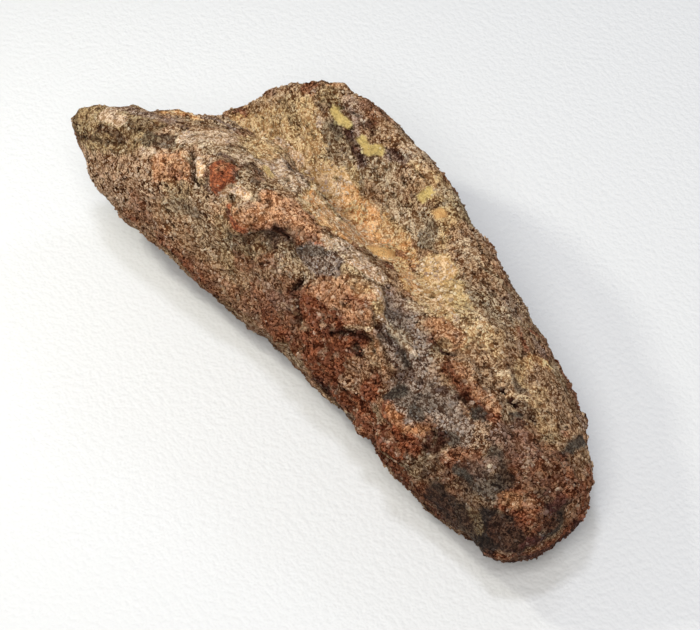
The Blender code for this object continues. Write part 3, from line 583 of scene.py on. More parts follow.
    ("orange", 0.75, 1.24, (25.8, 7, 17.8), (26.2, 8.5, 16.8)),
    ("pale", 0.7, 0.28, (26, 10.4, 14.8), (25.8, 11.3, 13.6)),
    ("dark_red", 0.6, 0.41, (25.4, 10, 16)),
    ("ochre", 0.7, 2.07, (27.5, 5.4, 17.7), (28.9, 7.1, 16.3)),
    ("salmon", 0.4, 1.66, (26.4, 7.2, 17.5), (27.4, 8, 16.4)),
    ("brown", 1.0, 2.76, (28.7, 6.8, 16.5), (31.3, 7.2, 14.9), (34.2, 5.1, 14.7)),
    ("ochre", 0.5, 1.79, (30.3, 4.7, 16.9), (32.7, 3.6, 16.2)),
    ("pink", 0.5, 1.24, (30.9, 6.6, 15.6), (32, 4.6, 16.3)),
    ("dark", 0.7, 0.97, (30.4, 1.8, 17.6), (31.5, 2.2, 17.2)),
    ("slate", 0.9, 0.9, (31.1, 0.4, 17.3), (31.9, 0.1, 17.3)),
    ("purple", 0.7, 0.69, (33.7, 9.1, 12.1), (32.9, 9.2, 12.5)),
    ("red", 0.5, 0.55, (34.7, 5.2, 14.3)),
    ("olive", 0.6, 0.83, (35, 1.7, 16.1), (34.9, 3.6, 15.1)),
    ("slate", 0.9, 0.69, (37.3, 2.6, 14.8), (36.2, 5.1, 13.7), (35.3, 7.9, 11.7)),
    ("slate", 0.5, 0.83, (39.9, -2.2, 15.1), (39.9, -1.1, 15.2)),
    # the tip
    ("dark", 0.6, 3.59, (30.5, -10.4, 11.9), (34.5, -8.9, 12.2), (36.2, -6, 15.7)),
    ("rust", 0.7, 1.79, (17.6, -12, 9.9), (22.8, -11.7, 8.7), (28.1, -11.4, 8.6), (32.7, -10.7, 8.3)),
    ("dark", 0.6, 1.52, (25, -11.4, 7.2), (31.4, -10.9, 7.8), (34.4, -8.5, 3.6)),
    ("rust", 0.8, 2.21, (40.8, -9.1, 8.1), (42, -5.4, 6.3), (41.8, -0.8, 5.5), (41.8, 2.6, 8),
     (39.8, 4.9, 11.1)),
    ("tip", 0.65, 1.93, (37.7, -10.1, 7.4), (40.3, -7.8, 5.5), (42, -3.5, 5.6), (42, 1.2, 6.8)),
    ("rust", 0.5, 1.38, (42, -1.2, 13.4), (42.2, 0.6, 9.1), (42.5, -1.4, 7.8)),
    ("dark_red", 0.4, 1.24, (42.3, -5, 7.1), (41.9, -0.7, 5.8), (42.1, 1.8, 7.5)),
    ("rust", 0.45, 3.31, (34.2, -1.4, 16.8), (37.8, -2, 16.3), (39.5, 0.4, 15.3)),
    ("rust", 0.55, 1.93, (38.5, 2.9, 14.1), (41.6, 1.5, 13.7)),
    ("brown", 0.5, 1.24, (38.2, 3.4, 13.9), (39.2, 4, 13)),
    ("purple", 0.55, 2.07, (33.1, -2.2, 17.2), (35.1, -1.5, 16.9)),
    ("dark", 0.9, 1.24, (26.9, -8.9, 14.9), (26.7, -7.9, 15.6)),
    ("rust", 0.7, 0.97, (29.4, -8.7, 15.2), (30.7, -8.6, 15)),
    ("slate", 0.9, 1.1, (31.6, -8.3, 14.5), (32.5, -7.8, 14.7)),
    ("slate", 0.45, 1.79, (32.9, -7.9, 14.4), (35.7, -7.4, 15.1)),
    ("slate", 0.8, 0.97, (33.2, -4.6, 16.9), (34.6, -4.8, 16.6)),
    ("purple", 0.6, 1.38, (33.4, -7.1, 15.5), (33.9, -6.3, 16.6)),
    ("pink", 0.3, 0.69, (31.4, -7, 16), (32.1, -6.4, 16)),
    ("rust", 0.4, 1.38, (31.2, -7.2, 15.9), (33, -6.8, 15.6)),
    ("bone", 0.3, 1.38, (35.5, -7.8, 14.8), (36.5, -7.4, 14.1)),
    ("slate", 0.5, 1.52, (33.2, -7.5, 14.8), (35.6, -7.3, 15.3)),
    ("tip", 0.65, 1.1, (36.2, -5.5, 15.8), (37.2, -5.9, 15.1)),
    ("tip", 0.8, 2.35, (31, -10.7, 9.7), (34.8, -10.3, 9.2), (38.4, -9.7, 10.1)),
    ("tip", 0.9, 2.48, (38.9, -9.1, 10.9), (41, -7.3, 11), (42, -3.6, 11.9)),
    ("rust", 0.15, 1.66, (39.6, -8.4, 11.4), (41.5, -6.9, 10.8)),
    ("tip", 0.6, 1.38, (40.5, -2.6, 14.2), (42, -1.5, 13.4)),
    ("rust", 0.35, 1.38, (41, -4.5, 12.7), (42, -3.5, 11.9)),
    ("rust", 0.85, 1.66, (38.6, -6, 14), (40.1, -4.5, 13.3)),
    ("salmon", 0.3, 1.1, (38.6, -5.4, 14), (40, -4.4, 13.4)),
    ("orange", 0.15, 0.83, (37.9, -6.2, 14.6), (38.9, -5.6, 13.7)),
    ("rust", 0.6, 1.1, (40.6, -5.7, 12.4), (41.5, -5.4, 11.6)),
    ("dark", 0.45, 1.79, (37.9, -1.4, 16.3), (39.6, -0.9, 15.4)),
    ("rust", 0.35, 2.76, (35.3, -1.6, 16.9), (37.9, 0.1, 16.3), (40.3, 1, 14.7)),
    ("dark_red", 0.6, 0.83, (41.6, -1.2, 13.9), (41.7, -2.4, 13.4)),
    ("rust", 0.7, 1.24, (40.9, 2.7, 11.9), (41.8, 2.1, 9.4)),
    ("rust", 0.8, 0.69, (42.7, -4.7, 8.8), (42.5, -1.9, 7.3), (42.3, -0.3, 7.8)),
    ("dark_red", 0.7, 0.69, (42.2, -6.6, 9.9), (42.5, -4.7, 10.1)),
    ("olive", 0.3, 0.97, (35.9, -9.4, 11), (37, -9.7, 10.4)),
    ("dark_red", 0.5, 0.55, (41.4, -8.2, 8.9), (42, -5.4, 6.3)),
    # the hidden side
    ("olive", 0.9, 3.5, (-29.4, 11.9, 13), (-24, 12.4, 7.8)),
    ("rust", 0.8, 2.4, (-23.2, 15.8, 16.7), (-16.9, 17.9, 12.9), (-13.1, 17.2, 10.7)),
    ("grey", 0.9, 3.6, (3.4, 15, 17.6), (13.6, 14.1, 13.4), (19.3, 13.1, 9.9)),
    ("rust", 0.8, 2.6, (25.6, 12.7, 11.1), (33.2, 9.8, 8)),
    ("bone", 0.9, 2.2, (14.2, 12.8, 6.5), (23.7, 11.1, 5.3)),
    ("pale", 0.85, 1.6, (-5.3, 17.4, 13.8), (0.8, 16.5, 11.2)),
    ("cream", 0.8, 1.2, (-16.1, 16.5, 9.5)),
    ("purple", 0.9, 0.8, (-9.2, 17.1, 17.4), (-2.1, 16.6, 16.7), (5, 15.3, 16.2)),
    ("dark", 0.7, 1.6, (-11.5, 13.8, 6.2), (4, 13.1, 4.8), (17.9, 11.7, 5)),
    ("slate", 0.9, 0.9, (8.3, 15, 11.7)),
)

# Cuts and knobs too small for the CAD part: depth in mm (below zero for a knob), half width in mm,
# how much painted shade darkens the bottom, and the points in mm of the line that it follows.
CARVINGS = (
    # the slot beside the pale lobe, and the holes round the nodules
    (1.1, 0.41, 1.0, (-22, -10.3, 25.1), (-20.8, -10.9, 24.4), (-19.5, -11.6, 23.5),
     (-17.9, -12.4, 23.4)),
    (1.2, 0.46, 1.0, (-13.3, -9.7, 23.8), (-12.8, -10, 23.5)),
    (0.6, 0.22, 0.9, (-12.6, -11.3, 23.4), (-11.9, -11.6, 23)),
    (0.6, 0.33, 0.9, (-26.6, -8.2, 24.1)),
    (0.25, 0.22, 0.45, (-39.5, -16.8, 16.9), (-35.9, -16.5, 19.4), (-33.1, -15.5, 20.3),
     (-31.7, -14.5, 21)),
    (0.35, 0.19, 0.7, (-27.5, -4.8, 22.6), (-26.6, -3.8, 22.6), (-24.6, -3.6, 23.2),
     (-22.9, -3.4, 23.5)),
    (-0.55, 1.24, 0.0, (-16.3, -9.8, 26.6), (-15, -9.6, 26.7), (-14.8, -11.1, 25.9)),
    (0.35, 0.19, 0.8, (-19, -10.1, 25.2), (-17.2, -11.4, 24.5), (-16, -11.8, 23.4)),
    (0.3, 0.18, 0.7, (-15.5, -7.5, 26), (-14.1, -8.6, 26.2), (-13.7, -9.9, 25.8)),
    (-0.45, 0.97, 0.0, (-10.1, -10.4, 24.9), (-8.9, -10.3, 24.4)),
    (-0.3, 0.41, 0.0, (-22.4, -11.1, 25), (-20.5, -12, 24.2)),
    (-0.3, 0.36, 0.0, (-20.1, -10.4, 25), (-18.2, -11.5, 24.4)),
    (0.4, 0.21, 0.8, (-17, -7.2, 25.6), (-16, -7.5, 25.9)),
    (0.4, 0.22, 0.8, (-16.7, -5.8, 25.4), (-16.6, -5.5, 25.3)),
    (0.4, 0.17, 0.8, (-16.8, -3.9, 24.6), (-15, -4.1, 24.9)),
    (0.35, 0.14, 0.7, (-14.5, -3.5, 24.6), (-12.7, -3.7, 24.8)),
    (0.5, 0.3, 0.7, (-8.8, -8.2, 25.6), (-8.8, -7.6, 25.8)),
    # the joints of the slab, and the pits of the far wall
    (0.3, 0.14, 0.6, (-13.9, -1.1, 23.8), (-10.5, -1.9, 24.6), (-8.1, -2.1, 23.9)),
    (0.25, 0.11, 0.5, (-12.5, -2.9, 24.7), (-9.8, -3.3, 25), (-8.5, -3, 24.5)),
    (0.25, 0.11, 0.4, (-15, -2.1, 24.3), (-13.4, -2, 24.5)),
    (0.5, 0.19, 0.8, (-9.6, -0.8, 24), (-7.8, -2.1, 23.8)),
    (0.6, 0.32, 1.0, (-19.5, 6.5, 19.7), (-19.2, 6.4, 19.6)),
    (0.45, 0.21, 0.9, (-27.2, 3.3, 15), (-26.6, 3.5, 15.2)),
    (0.45, 0.21, 0.9, (-25.2, 4.3, 16.2), (-24, 4.4, 16.6)),
    (0.4, 0.17, 0.8, (-18.3, 4.3, 16), (-17.7, 4, 15.5)),
    (0.5, 0.25, 0.8, (-18, 9.4, 24.3), (-17.2, 9.8, 24.9)),
    (0.5, 0.22, 0.8, (-16.1, 9.9, 25), (-14.7, 10.5, 24.9)),
    (0.5, 0.22, 0.8, (-13.8, 10.5, 24.5), (-12.9, 10.1, 24.1)),
    (0.45, 0.21, 0.8, (-14.6, 9.5, 23.7), (-14, 8.7, 22.5), (-12.3, 8.8, 22.4)),
    (0.5, 0.22, 0.8, (-11.1, 8.4, 21.5), (-10.1, 8.1, 21.4)),
    (0.4, 0.19, 0.7, (-13.8, 7.3, 19.5), (-12.7, 7, 19.1)),
    (0.4, 0.19, 0.8, (-8.5, 10.4, 23.6), (-7.4, 10.2, 23.4)),
    (0.4, 0.17, 0.7, (-4.5, 11.2, 24.4), (-3, 11, 24.2), (-1.6, 11.2, 24.1)),
    (0.35, 0.15, 0.7, (-1, 7.1, 18.8), (0.9, 7.3, 19.1)),
    (0.35, 0.14, 0.7, (-7.3, 7.3, 19.1), (-5.3, 8.1, 20.3)),
    (0.5, 0.19, 0.8, (6.8, 12.4, 21.5), (8.5, 12.1, 21.3), (10.7, 11, 21.5)),
    (0.4, 0.22, 0.8, (8.9, 8.8, 21.1), (9.1, 9.3, 21.3)),
    (0.4, 0.19, 0.7, (5.2, 7.2, 19.9), (6.6, 7.1, 20.3)),
    (-0.3, 0.97, 0.0, (0.3, 1.7, 18.5), (1.5, 3, 18.6)),
    # the cavity under the brink, the crest's edge and the ledge of the crust
    (0.8, 0.83, 0.25, (-8.3, -10.8, 21.2), (-6.1, -9.6, 22.7), (-3.6, -8.7, 23.7)),
    (0.6, 0.41, 0.8, (-5.6, -8.8, 24.2), (-4.1, -8.7, 24), (-2.8, -8.5, 23.2)),
    (0.5, 0.28, 0.7, (-11.3, -11.9, 18.9), (-11.5, -11.9, 19.8)),
    (0.45, 0.17, 0.6, (-0.7, -2.8, 23.3), (0.6, -1.9, 22.7), (2.5, -1.4, 22)),
    (-0.3, 0.55, 0.0, (0.3, -3.8, 24.1), (1.7, -2.6, 23.2), (3.8, -2.1, 22.6), (6.4, -1.9, 22.6)),
    (0.5, 0.22, 0.7, (3.4, -5.5, 24.3), (4, -6.2, 23.8)),
    (0.7, 0.33, 0.9, (-0.4, -10.2, 18.1), (0.2, -9.3, 19.4), (0.5, -9, 20)),
    (0.5, 0.41, 0.6, (0.9, -10.2, 18.3), (2.3, -11, 17.6), (3.3, -11.5, 16.1)),
    (0.5, 0.21, 0.7, (4.4, -7.6, 21.4), (6.3, -7.2, 23), (5.6, -8.2, 21.4)),
    (0.6, 0.41, 0.7, (11.7, -9.2, 18.7), (12.8, -9.4, 18.4)),
    (0.5, 0.41, 0.7, (7.9, -10.2, 18), (9.9, -8.9, 19.3), (11.7, -8.1, 19.7), (13.1, -8, 19.9)),
    (-0.5, 0.97, 0.0, (7.6, -7.7, 22.2), (9.5, -6.8, 22.3), (11.6, -7.2, 22.8)),
    (-0.4, 0.69, 0.0, (6.7, -6.3, 23.5), (8.6, -5.3, 23.8), (10.6, -4.9, 23.2)),
    (-0.35, 0.69, 0.0, (14.5, -7.8, 20.3), (15.9, -7.9, 18.8), (17.3, -8.4, 17.5)),
    (0.5, 0.28, 0.7, (11.3, -6.1, 22.8), (12.4, -6.9, 22.3), (13.7, -7.2, 21.5), (15.2, -7.4, 20),
     (16.5, -7.8, 18.6), (17.9, -8.2, 17.6)),
    (0.7, 0.41, 0.8, (12.3, -11.9, 12.6), (14, -11.6, 11.8)),
    (0.5, 0.17, 0.8, (6.3, -11.7, 15.5), (6.6, -11.7, 15.3)),
    # streaks in the dentine, and the holes among the knobs
    (-0.3, 0.39, 0.0, (12.1, -5.6, 22.2), (13.6, -5.2, 21), (15.7, -5.1, 20.5), (17.9, -4.8, 19.8)),
    (0.35, 0.22, 0.6, (12.8, -6.8, 22.1), (14.5, -6.3, 20.8), (16.9, -6, 19.9)),
    (0.35, 0.22, 0.6, (13.7, -5.7, 21.1), (15.6, -5.7, 20.3)),
    (0.5, 0.28, 0.7, (16.7, -5.9, 20.1), (18.2, -6.2, 19.1)),
    (0.7, 0.41, 0.9, (19.6, -1.9, 20.4), (20.7, -1.1, 20.4)),
    (0.5, 0.25, 0.8, (17, -2.1, 20.6), (17.4, -1.6, 20.3)),
    (0.4, 0.21, 0.6, (22.7, -3.2, 19.6), (24.2, -3.8, 18.8), (25.7, -3.6, 18.7), (27.3, -3.7, 18.4)),
    (-0.5, 0.83, 0.0, (22.2, -2.5, 20.4), (23.6, -2.4, 20.2), (24.9, -2.4, 19.3)),
    (-0.45, 0.83, 0.0, (26.6, -1.9, 19.1), (29, -1.7, 18.7)),
    (0.7, 0.33, 1.0, (26.9, 1.6, 17.5), (27.2, 1.5, 17.4)),
    (0.7, 0.36, 1.0, (28.4, 1, 17.6), (29.6, 1.2, 17.9)),
    (0.4, 0.18, 0.8, (21.1, 2.3, 20.3), (21.6, 2.2, 20.1)),
    (-0.4, 0.97, 0.0, (19.9, -10.9, 15.8), (22.5, -10.7, 15.7), (24.3, -10.3, 14.9)),
    (0.4, 0.28, 0.7, (24, -7.9, 16.2), (26.4, -8, 15.7)),
    (-0.35, 0.69, 0.0, (25.4, 2.3, 18.9), (26.4, 2.8, 18.5)),
    (-0.35, 0.69, 0.0, (30.2, -4.1, 17.6), (31.4, -4.7, 16.9)),
    # cracks, holes and a knob on the hidden side
    (0.5, 0.3, 0.8, (-12.1, 16.6, 18.3), (-10.4, 17.7, 14.5), (-11.5, 16.7, 9.5)),
    (0.45, 0.28, 0.7, (6.8, 15.3, 14.7), (14.4, 14, 14.5), (21.6, 12.8, 13.7)),
    (0.7, 0.6, 0.8, (-19.9, 15.8, 10.4), (-19, 16, 10)),
    (0.7, 0.5, 0.9, (18, 14, 11.7)),
    (-0.5, 1.1, 0, (-2.8, 17.3, 13.9), (-0.3, 17, 13.2)),
)


def live(sockets, name):
    """The socket of that name or number that the node uses for its present type."""
    if isinstance(name, int):
        return sockets[name]
    return next(s for s in sockets if s.name == name and s.enabled)


def add_node(tree, kind, at, values=None, **settings):
    """A shader node at a place on the sheet, with its settings and the values of its sockets."""
    node = tree.nodes.new(kind)
    node.location = (at[0] * SHEET_STEP, at[1] * SHEET_STEP)
    for name, value in settings.items():
        setattr(node, name, value)
    for name, value in (values or {}).items():
        live(node.inputs, name).default_value = value
    return node


def wire(tree, *links):
    """Joins nodes, each link given as (from node, its output, to node, its input)."""
    for source, output, target, name in links:
        tree.links.new(live(source.outputs, output), live(target.inputs, name))


def soft_range(tree, at, low, high, falling=False):
    """A smooth rise from 0 at the low value to 1 at the high one, or a fall from 1 to 0."""
    first, last = (1.0, 0.0) if falling else (0.0, 1.0)
    values = {"From Min": low, "From Max": high, "To Min": first, "To Max": last}
    return add_node(tree, "ShaderNodeMapRange", at, values, interpolation_type="SMOOTHSTEP")


def plain_range(tree, at, first, last):
    """A straight line from the first value, at 0, to the last, at 1."""
    return add_node(tree, "ShaderNodeMapRange", at, {"To Min": first, "To Max": last})


def arithmetic(tree, at, operation, second=None, **settings):
    """A sum or product, with its second number where that is fixed."""
    values = {} if second is None else {1: second}
    return add_node(tree, "ShaderNodeMath", at, values, operation=operation, **settings)


def tint(tree, at, colour, blend="MULTIPLY"):
    """Mixes a fixed colour into what comes in, in full unless its factor is wired."""
    values = {"Factor": 1.0, "B": (*colour, 1)}
    return add_node(tree, "ShaderNodeMix", at, values, data_type="RGBA", blend_type=blend)


def new_group(name, inputs, outputs):
    """An empty shader node group with its sockets, and its two end nodes."""
    group = bpy.data.node_groups.new(name, "ShaderNodeTree")
    for label, kind, value in inputs:
        socket = group.interface.new_socket(label, in_out="INPUT", socket_type=kind)
        if value is not None:
            socket.default_value = value
    for label in outputs:
        group.interface.new_socket(label, in_out="OUTPUT", socket_type="NodeSocketFloat")
    return group, add_node(group, "NodeGroupInput", (-6, 0)), add_node(group, "NodeGroupOutput", (4, 0))


def grain_group():
    """Sand at the scale of single grains: their brightness, masks of the gaps and pores where the stone's
    shader paints shade, and a height.
    """
    group, start, end = new_group(
        "Sand Grain",
        [("Vector", "NodeSocketVector", None), ("Grains per Metre", "NodeSocketFloat", 2400.0)],
        ["Shade", "Gaps", "Pores", "Height"],
    )
    warp = add_node(group, "ShaderNodeTexNoise", (-4, -1), {"Scale": 2000.0, "Detail": 2.0})
    shift = add_node(group, "ShaderNodeVectorMath", (-3, -1), {1: GRAIN_WARP}, operation="MULTIPLY_ADD")
    cells = add_node(group, "ShaderNodeTexVoronoi", (-2, 1), feature="F1")
    edges = add_node(group, "ShaderNodeTexVoronoi", (-2, -1), feature="DISTANCE_TO_EDGE")
    dust_look = {"Scale": 3600.0, "Detail": 3.0, "Roughness": 0.75}
    dust = add_node(group, "ShaderNodeTexNoise", (-2, -2), dust_look)
    sponge_scale = arithmetic(group, (-3, 2), "MULTIPLY", PORES_PER_GRAIN)
    sponge = add_node(group, "ShaderNodeTexNoise", (-2, 2), {"Detail": 3.0, "Roughness": 0.68})
    lot = add_node(group, "ShaderNodeSeparateColor", (-1, 1))
    speckle = add_node(group, "ShaderNodeMix", (0, 1), {"Factor": 0.62}, data_type="FLOAT")
    glint = add_node(group, "ShaderNodeTexNoise", (-1, 0), {"Scale": 5200.0, "Detail": 1.0})
    shade = arithmetic(group, (1, 1), "MULTIPLY_ADD", GLINT)
    gaps = soft_range(group, (1, -1), 0.02, 0.16, falling=True)
    pores = soft_range(group, (1, 2), 0.365, 0.445, falling=True)
    lift = arithmetic(group, (0, -2), "MULTIPLY_ADD", GRAIN_DOME)
    height = arithmetic(group, (1, -2), "MULTIPLY_ADD", -PORE_SINK)
    wire(
        group,
        (start, "Vector", warp, "Vector"),
        (warp, "Color", shift, 0),
        (start, "Vector", shift, 2),
        (shift, "Vector", cells, "Vector"),
        (shift, "Vector", edges, "Vector"),
        (start, "Grains per Metre", cells, "Scale"),
        (start, "Grains per Metre", edges, "Scale"),
        (start, "Vector", dust, "Vector"),
        (start, "Vector", sponge, "Vector"),
        (start, "Grains per Metre", sponge_scale, 0),
        (sponge_scale, "Value", sponge, "Scale"),
        (cells, "Color", lot, "Color"),
        (lot, "Red", speckle, "A"),
        (dust, "Fac", speckle, "B"),
        (start, "Vector", glint, "Vector"),
        (glint, "Fac", shade, 0),
        (speckle, "Result", shade, 2),
        (edges, "Distance", gaps, "Value"),
        (sponge, "Fac", pores, "Value"),
        (edges, "Distance", lift, 0),
        (dust, "Fac", lift, 2),
        (pores, "Result", height, 0),
        (lift, "Value", height, 2),
        (shade, "Value", end, "Shade"),
        (gaps, "Result", end, "Gaps"),
        (pores, "Result", end, "Pores"),
        (height, "Value", end, "Height"),
    )
    return group


def stain_group():
    """Slow stains in rock: a value from 0 to 1 that drifts over millimetres."""
    group, start, end = new_group(
        "Rock Stain",
        [("Vector", "NodeSocketVector", None), ("Stains per Metre", "NodeSocketFloat", 260.0)],
        ["Stain"],
    )
    clouds = add_node(group, "ShaderNodeTexNoise", (-2, 1), {"Detail": 4.0, "Roughness": 0.62})
    stain = soft_range(group, (0, 1), 0.35, 0.75)
    wire(
        group,
        (start, "Vector", clouds, "Vector"),
        (start, "Stains per Metre", clouds, "Scale"),
        (clouds, "Fac", stain, "Value"),
        (stain, "Result", end, "Stain"),
    )
    return group


def stone_material(name, grains_per_metre, contrast, roughness, bump):
    """Mineral tone from the mesh, broken up by dark and pale grains, stains, painted shade in the gaps
    and pores, and bump.
    """
    material = bpy.data.materials.new(name)
    material.use_nodes = True
    tree = material.node_tree
    tree.nodes.clear()
    place = add_node(tree, "ShaderNodeTexCoord", (-7, 0))
    mineral = add_node(tree, "ShaderNodeAttribute", (-7, 3), attribute_name="mineral")
    texture = add_node(tree, "ShaderNodeAttribute", (-7, -3), attribute_name="texture")
    parts = add_node(tree, "ShaderNodeSeparateXYZ", (-6, -3))
    sand = add_node(tree, "ShaderNodeGroup", (-6, 0))
    sand.node_tree = bpy.data.node_groups.get("Sand Grain") or grain_group()
    sand.inputs["Grains per Metre"].default_value = grains_per_metre
    stain = add_node(tree, "ShaderNodeGroup", (-6, -1))
    stain.node_tree = bpy.data.node_groups.get("Rock Stain") or stain_group()
    dark_grain = tint(tree, (-5, 3), DARK_GRAIN)
    pale_grain = tint(tree, (-5, 4), PALE_GRAIN)
    capped = tint(tree, (-4, 4), PALEST, "DARKEN")
    lot = soft_range(tree, (-5, 1), 0.635, 0.875)
    either = add_node(tree, "ShaderNodeMix", (-4, 3), data_type="RGBA")
    grit = arithmetic(tree, (-5, -2), "MULTIPLY", contrast, use_clamp=True)
    gritty = add_node(tree, "ShaderNodeMix", (-3, 3), data_type="RGBA")
    stain_amount = arithmetic(tree, (-5, -1), "MULTIPLY", STAIN_STRENGTH)
    stained = tint(tree, (-2, 3), STAIN_TINT)
    # Painted shade: the gaps between grains and the pores darken the base colour.
    gap_shade_amount = arithmetic(tree, (-4, 0), "MULTIPLY")
    gaps = tint(tree, (-1, 3), GAP_SHADE_TINT)
    pore_shade_amount = arithmetic(tree, (-4, 1), "MULTIPLY")
    pores = tint(tree, (0, 3), PORE_SHADE_TINT)
    dullness = plain_range(tree, (-1, 0), roughness, SHINY_ROUGHNESS)
    gloss = plain_range(tree, (-1, 1), DULL_GLOSS, SHINY_GLOSS)
    relief = add_node(tree, "ShaderNodeBump", (-1, -2), {"Strength": bump, "Distance": 0.0004})
    shader = add_node(tree, "ShaderNodeBsdfPrincipled", (1, 1))
    out = add_node(tree, "ShaderNodeOutputMaterial", (3, 1))
    wire(
        tree,
        (place, "Object", sand, "Vector"),
        (place, "Object", stain, "Vector"),
        (texture, "Vector", parts, "Vector"),
        (mineral, "Color", dark_grain, "A"),
        (mineral, "Color", pale_grain, "A"),
        (sand, "Shade", lot, "Value"),
        (lot, "Result", either, "Factor"),
        (dark_grain, "Result", either, "A"),
        (pale_grain, "Result", capped, "A"),
        (capped, "Result", either, "B"),
        (parts, "X", grit, 0),
        (grit, "Value", gritty, "Factor"),
        (mineral, "Color", gritty, "A"),
        (either, "Result", gritty, "B"),
        (stain, "Stain", stain_amount, 0),
        (stain_amount, "Value", stained, "Factor"),
        (gritty, "Result", stained, "A"),
        (sand, "Gaps", gap_shade_amount, 0),
        (grit, "Value", gap_shade_amount, 1),
        (gap_shade_amount, "Value", gaps, "Factor"),
        (stained, "Result", gaps, "A"),
        (sand, "Pores", pore_shade_amount, 0),
        (parts, "Y", pore_shade_amount, 1),
        (pore_shade_amount, "Value", pores, "Factor"),
        (gaps, "Result", pores, "A"),
        (pores, "Result", shader, "Base Color"),
        (parts, "Z", dullness, "Value"),
        (dullness, "Result", shader, "Roughness"),
        (parts, "Z", gloss, "Value"),
        (gloss, "Result", shader, "Specular IOR Level"),
        (sand, "Height", relief, "Height"),
        (relief, "Normal", shader, "Normal"),
        (shader, "BSDF", out, "Surface"),
    )
    return material


def deselect_all():
    """An operator acts on all that is selected, so each step starts from nothing."""
    bpy.ops.object.select_all(action="DESELECT")


def smooth_step(value):
    """Eases a value between 0 and 1, flat at both ends."""
    value = np.clip(value, 0, 1)
    return value * value * (3 - 2 * value)


def ramp(value, start, width):
    """Rises smoothly from 0 at the start to 1 a width further on."""
    return smooth_step((value - start) / width)


def drift(points, size, shift=0.0):
    """Smooth noise between about -1 and 1 at each point, one wave every `size` mm."""
    return np.array([noise.noise(p) for p in (points / size + shift).tolist()])


def wander(points, size, shift=0.0):
    """A smooth noise vector at each point. Its seed is set, because it otherwise follows the clock."""
    noise.seed_set(WANDER_SEED)
    return np.array([noise.noise_vector(p)[:] for p in (points / size + shift).tolist()])


def distance_to_path(points, path):
    """Distance in mm from each point to the nearest spot on a line of points."""
    path = np.array(path, float)
    nearest = np.linalg.norm(points - path[0], axis=1)
    for start, end in zip(path, path[1:]):
        run = end - start
        along = np.clip((points - start) @ run / (run @ run), 0, 1)
        nearest = np.minimum(nearest, np.linalg.norm(points - start - along[:, None] * run, axis=1))
    return nearest


def patch_cover(points, mineral, radius, path):
    """1 inside a mineral patch, falling to 0 across its edge."""
    edge = CRISP_EDGE if mineral == "lime" else max(SOFT_EDGE, EDGE_SHARE * radius)
    return smooth_step((radius - distance_to_path(points, path)) / edge + 0.5)


def mineral_shares(points):
    """How much of each mineral lies at each point in mm, laid down patch by patch."""
    order = list(TEXTURES)
    shares = np.zeros((len(points), len(order)))
    shares[:, order.index(MATRIX)] = 1

    def lay(mineral, amount):
        shares[:] *= 1 - amount[:, None]
        shares[:, order.index(mineral)] += amount

    for mineral, share, size, shift in DRIFTS:
        lay(mineral, share * ramp(drift(points, size, shift), start=0.02, width=0.35))
    # The stone turns to the dark mineral towards the bottom.
    lay("dark", FOOT_DARKENING * smooth_step((FOOT_DARKENING_TOP - points[:, 2]) / FOOT_DARKENING_FADE))
    broad, fine = wander(points, size=2.1), wander(points, size=0.7, shift=9.0)
    for mineral, strength, radius, *path in PATCHES:
        ragged = points + min(0.9, 0.4 * radius) * broad + min(0.4, 0.3 * radius) * fine
        lay(mineral, strength * patch_cover(ragged, mineral, radius, path))
    clean = sum(shares[:, order.index(name)] for name in CLEAN)
    for mineral, share, size, shift in SPECKS:
        spots = drift(points, size, shift) + 0.6 * drift(points, 0.4 * size, shift)
        lay(mineral, share * np.clip(1 - clean, 0, 1) * ramp(spots, start=0.25, width=0.35))
    return shares


def mineral_look(points):
    """The minerals' mean colour at each point in mm, and their five texture values."""
    minerals = bpy.context.scene.fossil_minerals
    table = np.array([(*getattr(minerals, name), *texture) for name, texture in TEXTURES.items()])
    look = mineral_shares(points) @ table
    colour, grit, crag, pits, shine, loose = look[:, :3], *look[:, 3:].T
    worn = smooth_step(0.5 + 1.8 * drift(points, size=2.6, shift=90.0))
    return colour, grit * (1 - 0.2 * worn), crag, pits, shine, loose


def carving_depth(points):
    """Depth in mm that the carvings take away at each point, and how much painted shade they lay in it.
    """
    depth, shadow = np.zeros(len(points)), np.zeros(len(points))
    uneven = 0.12 * wander(points, size=0.8, shift=4.0)
    for cut, width, dark, *path in CARVINGS:
        shape = smooth_step(1.25 - distance_to_path(points + uneven, path) / width)
        depth += cut * shape
        # The painted shade in the bottom of each cut.
        shadow = np.maximum(shadow, dark * shape)
    return depth, shadow


def pore_depth(points, pits):
    """1 in the middle of each pore and 0 outside it, with more pores where the pits value is high."""
    spacing = bpy.context.scene.fossil_sizes.pore / MM
    share = MOST_PORES * pits
    depth = np.zeros(len(points))
    for i, p in enumerate((points / spacing).tolist()):
        near, centres = noise.voronoi(p)
        lot = 0.5 + 0.5 * noise.cell(centres[0] * PORE_DRAW)
        if lot < share[i]:
            radius = PORE_RADIUS + PORE_SPREAD * lot / max(share[i], 0.01)
            depth[i] = max(0.0, 1.0 - near[0] / radius)
    return depth


def crust_lumps(points):
    """Sharp-crested lumps of iron crust at each point, below 0 in the hollows between them."""
    mean, wave, smoothness, step, octaves, offset, gain = 1.1, 2.0, 0.8, 2.1, 4, 1.0, 2.0
    shape = (smoothness, step, octaves, offset, gain)
    return np.array([noise.ridged_multi_fractal(p, *shape) for p in (points / wave).tolist()]) - mean


def set_attribute(mesh, name, kind, values):
    """A colour or vector on each point."""
    layer = mesh.attributes.new(name, kind, "POINT")
    field = "color" if kind == "FLOAT_COLOR" else "vector"
    layer.data.foreach_set(field, values.astype(np.float32).ravel())


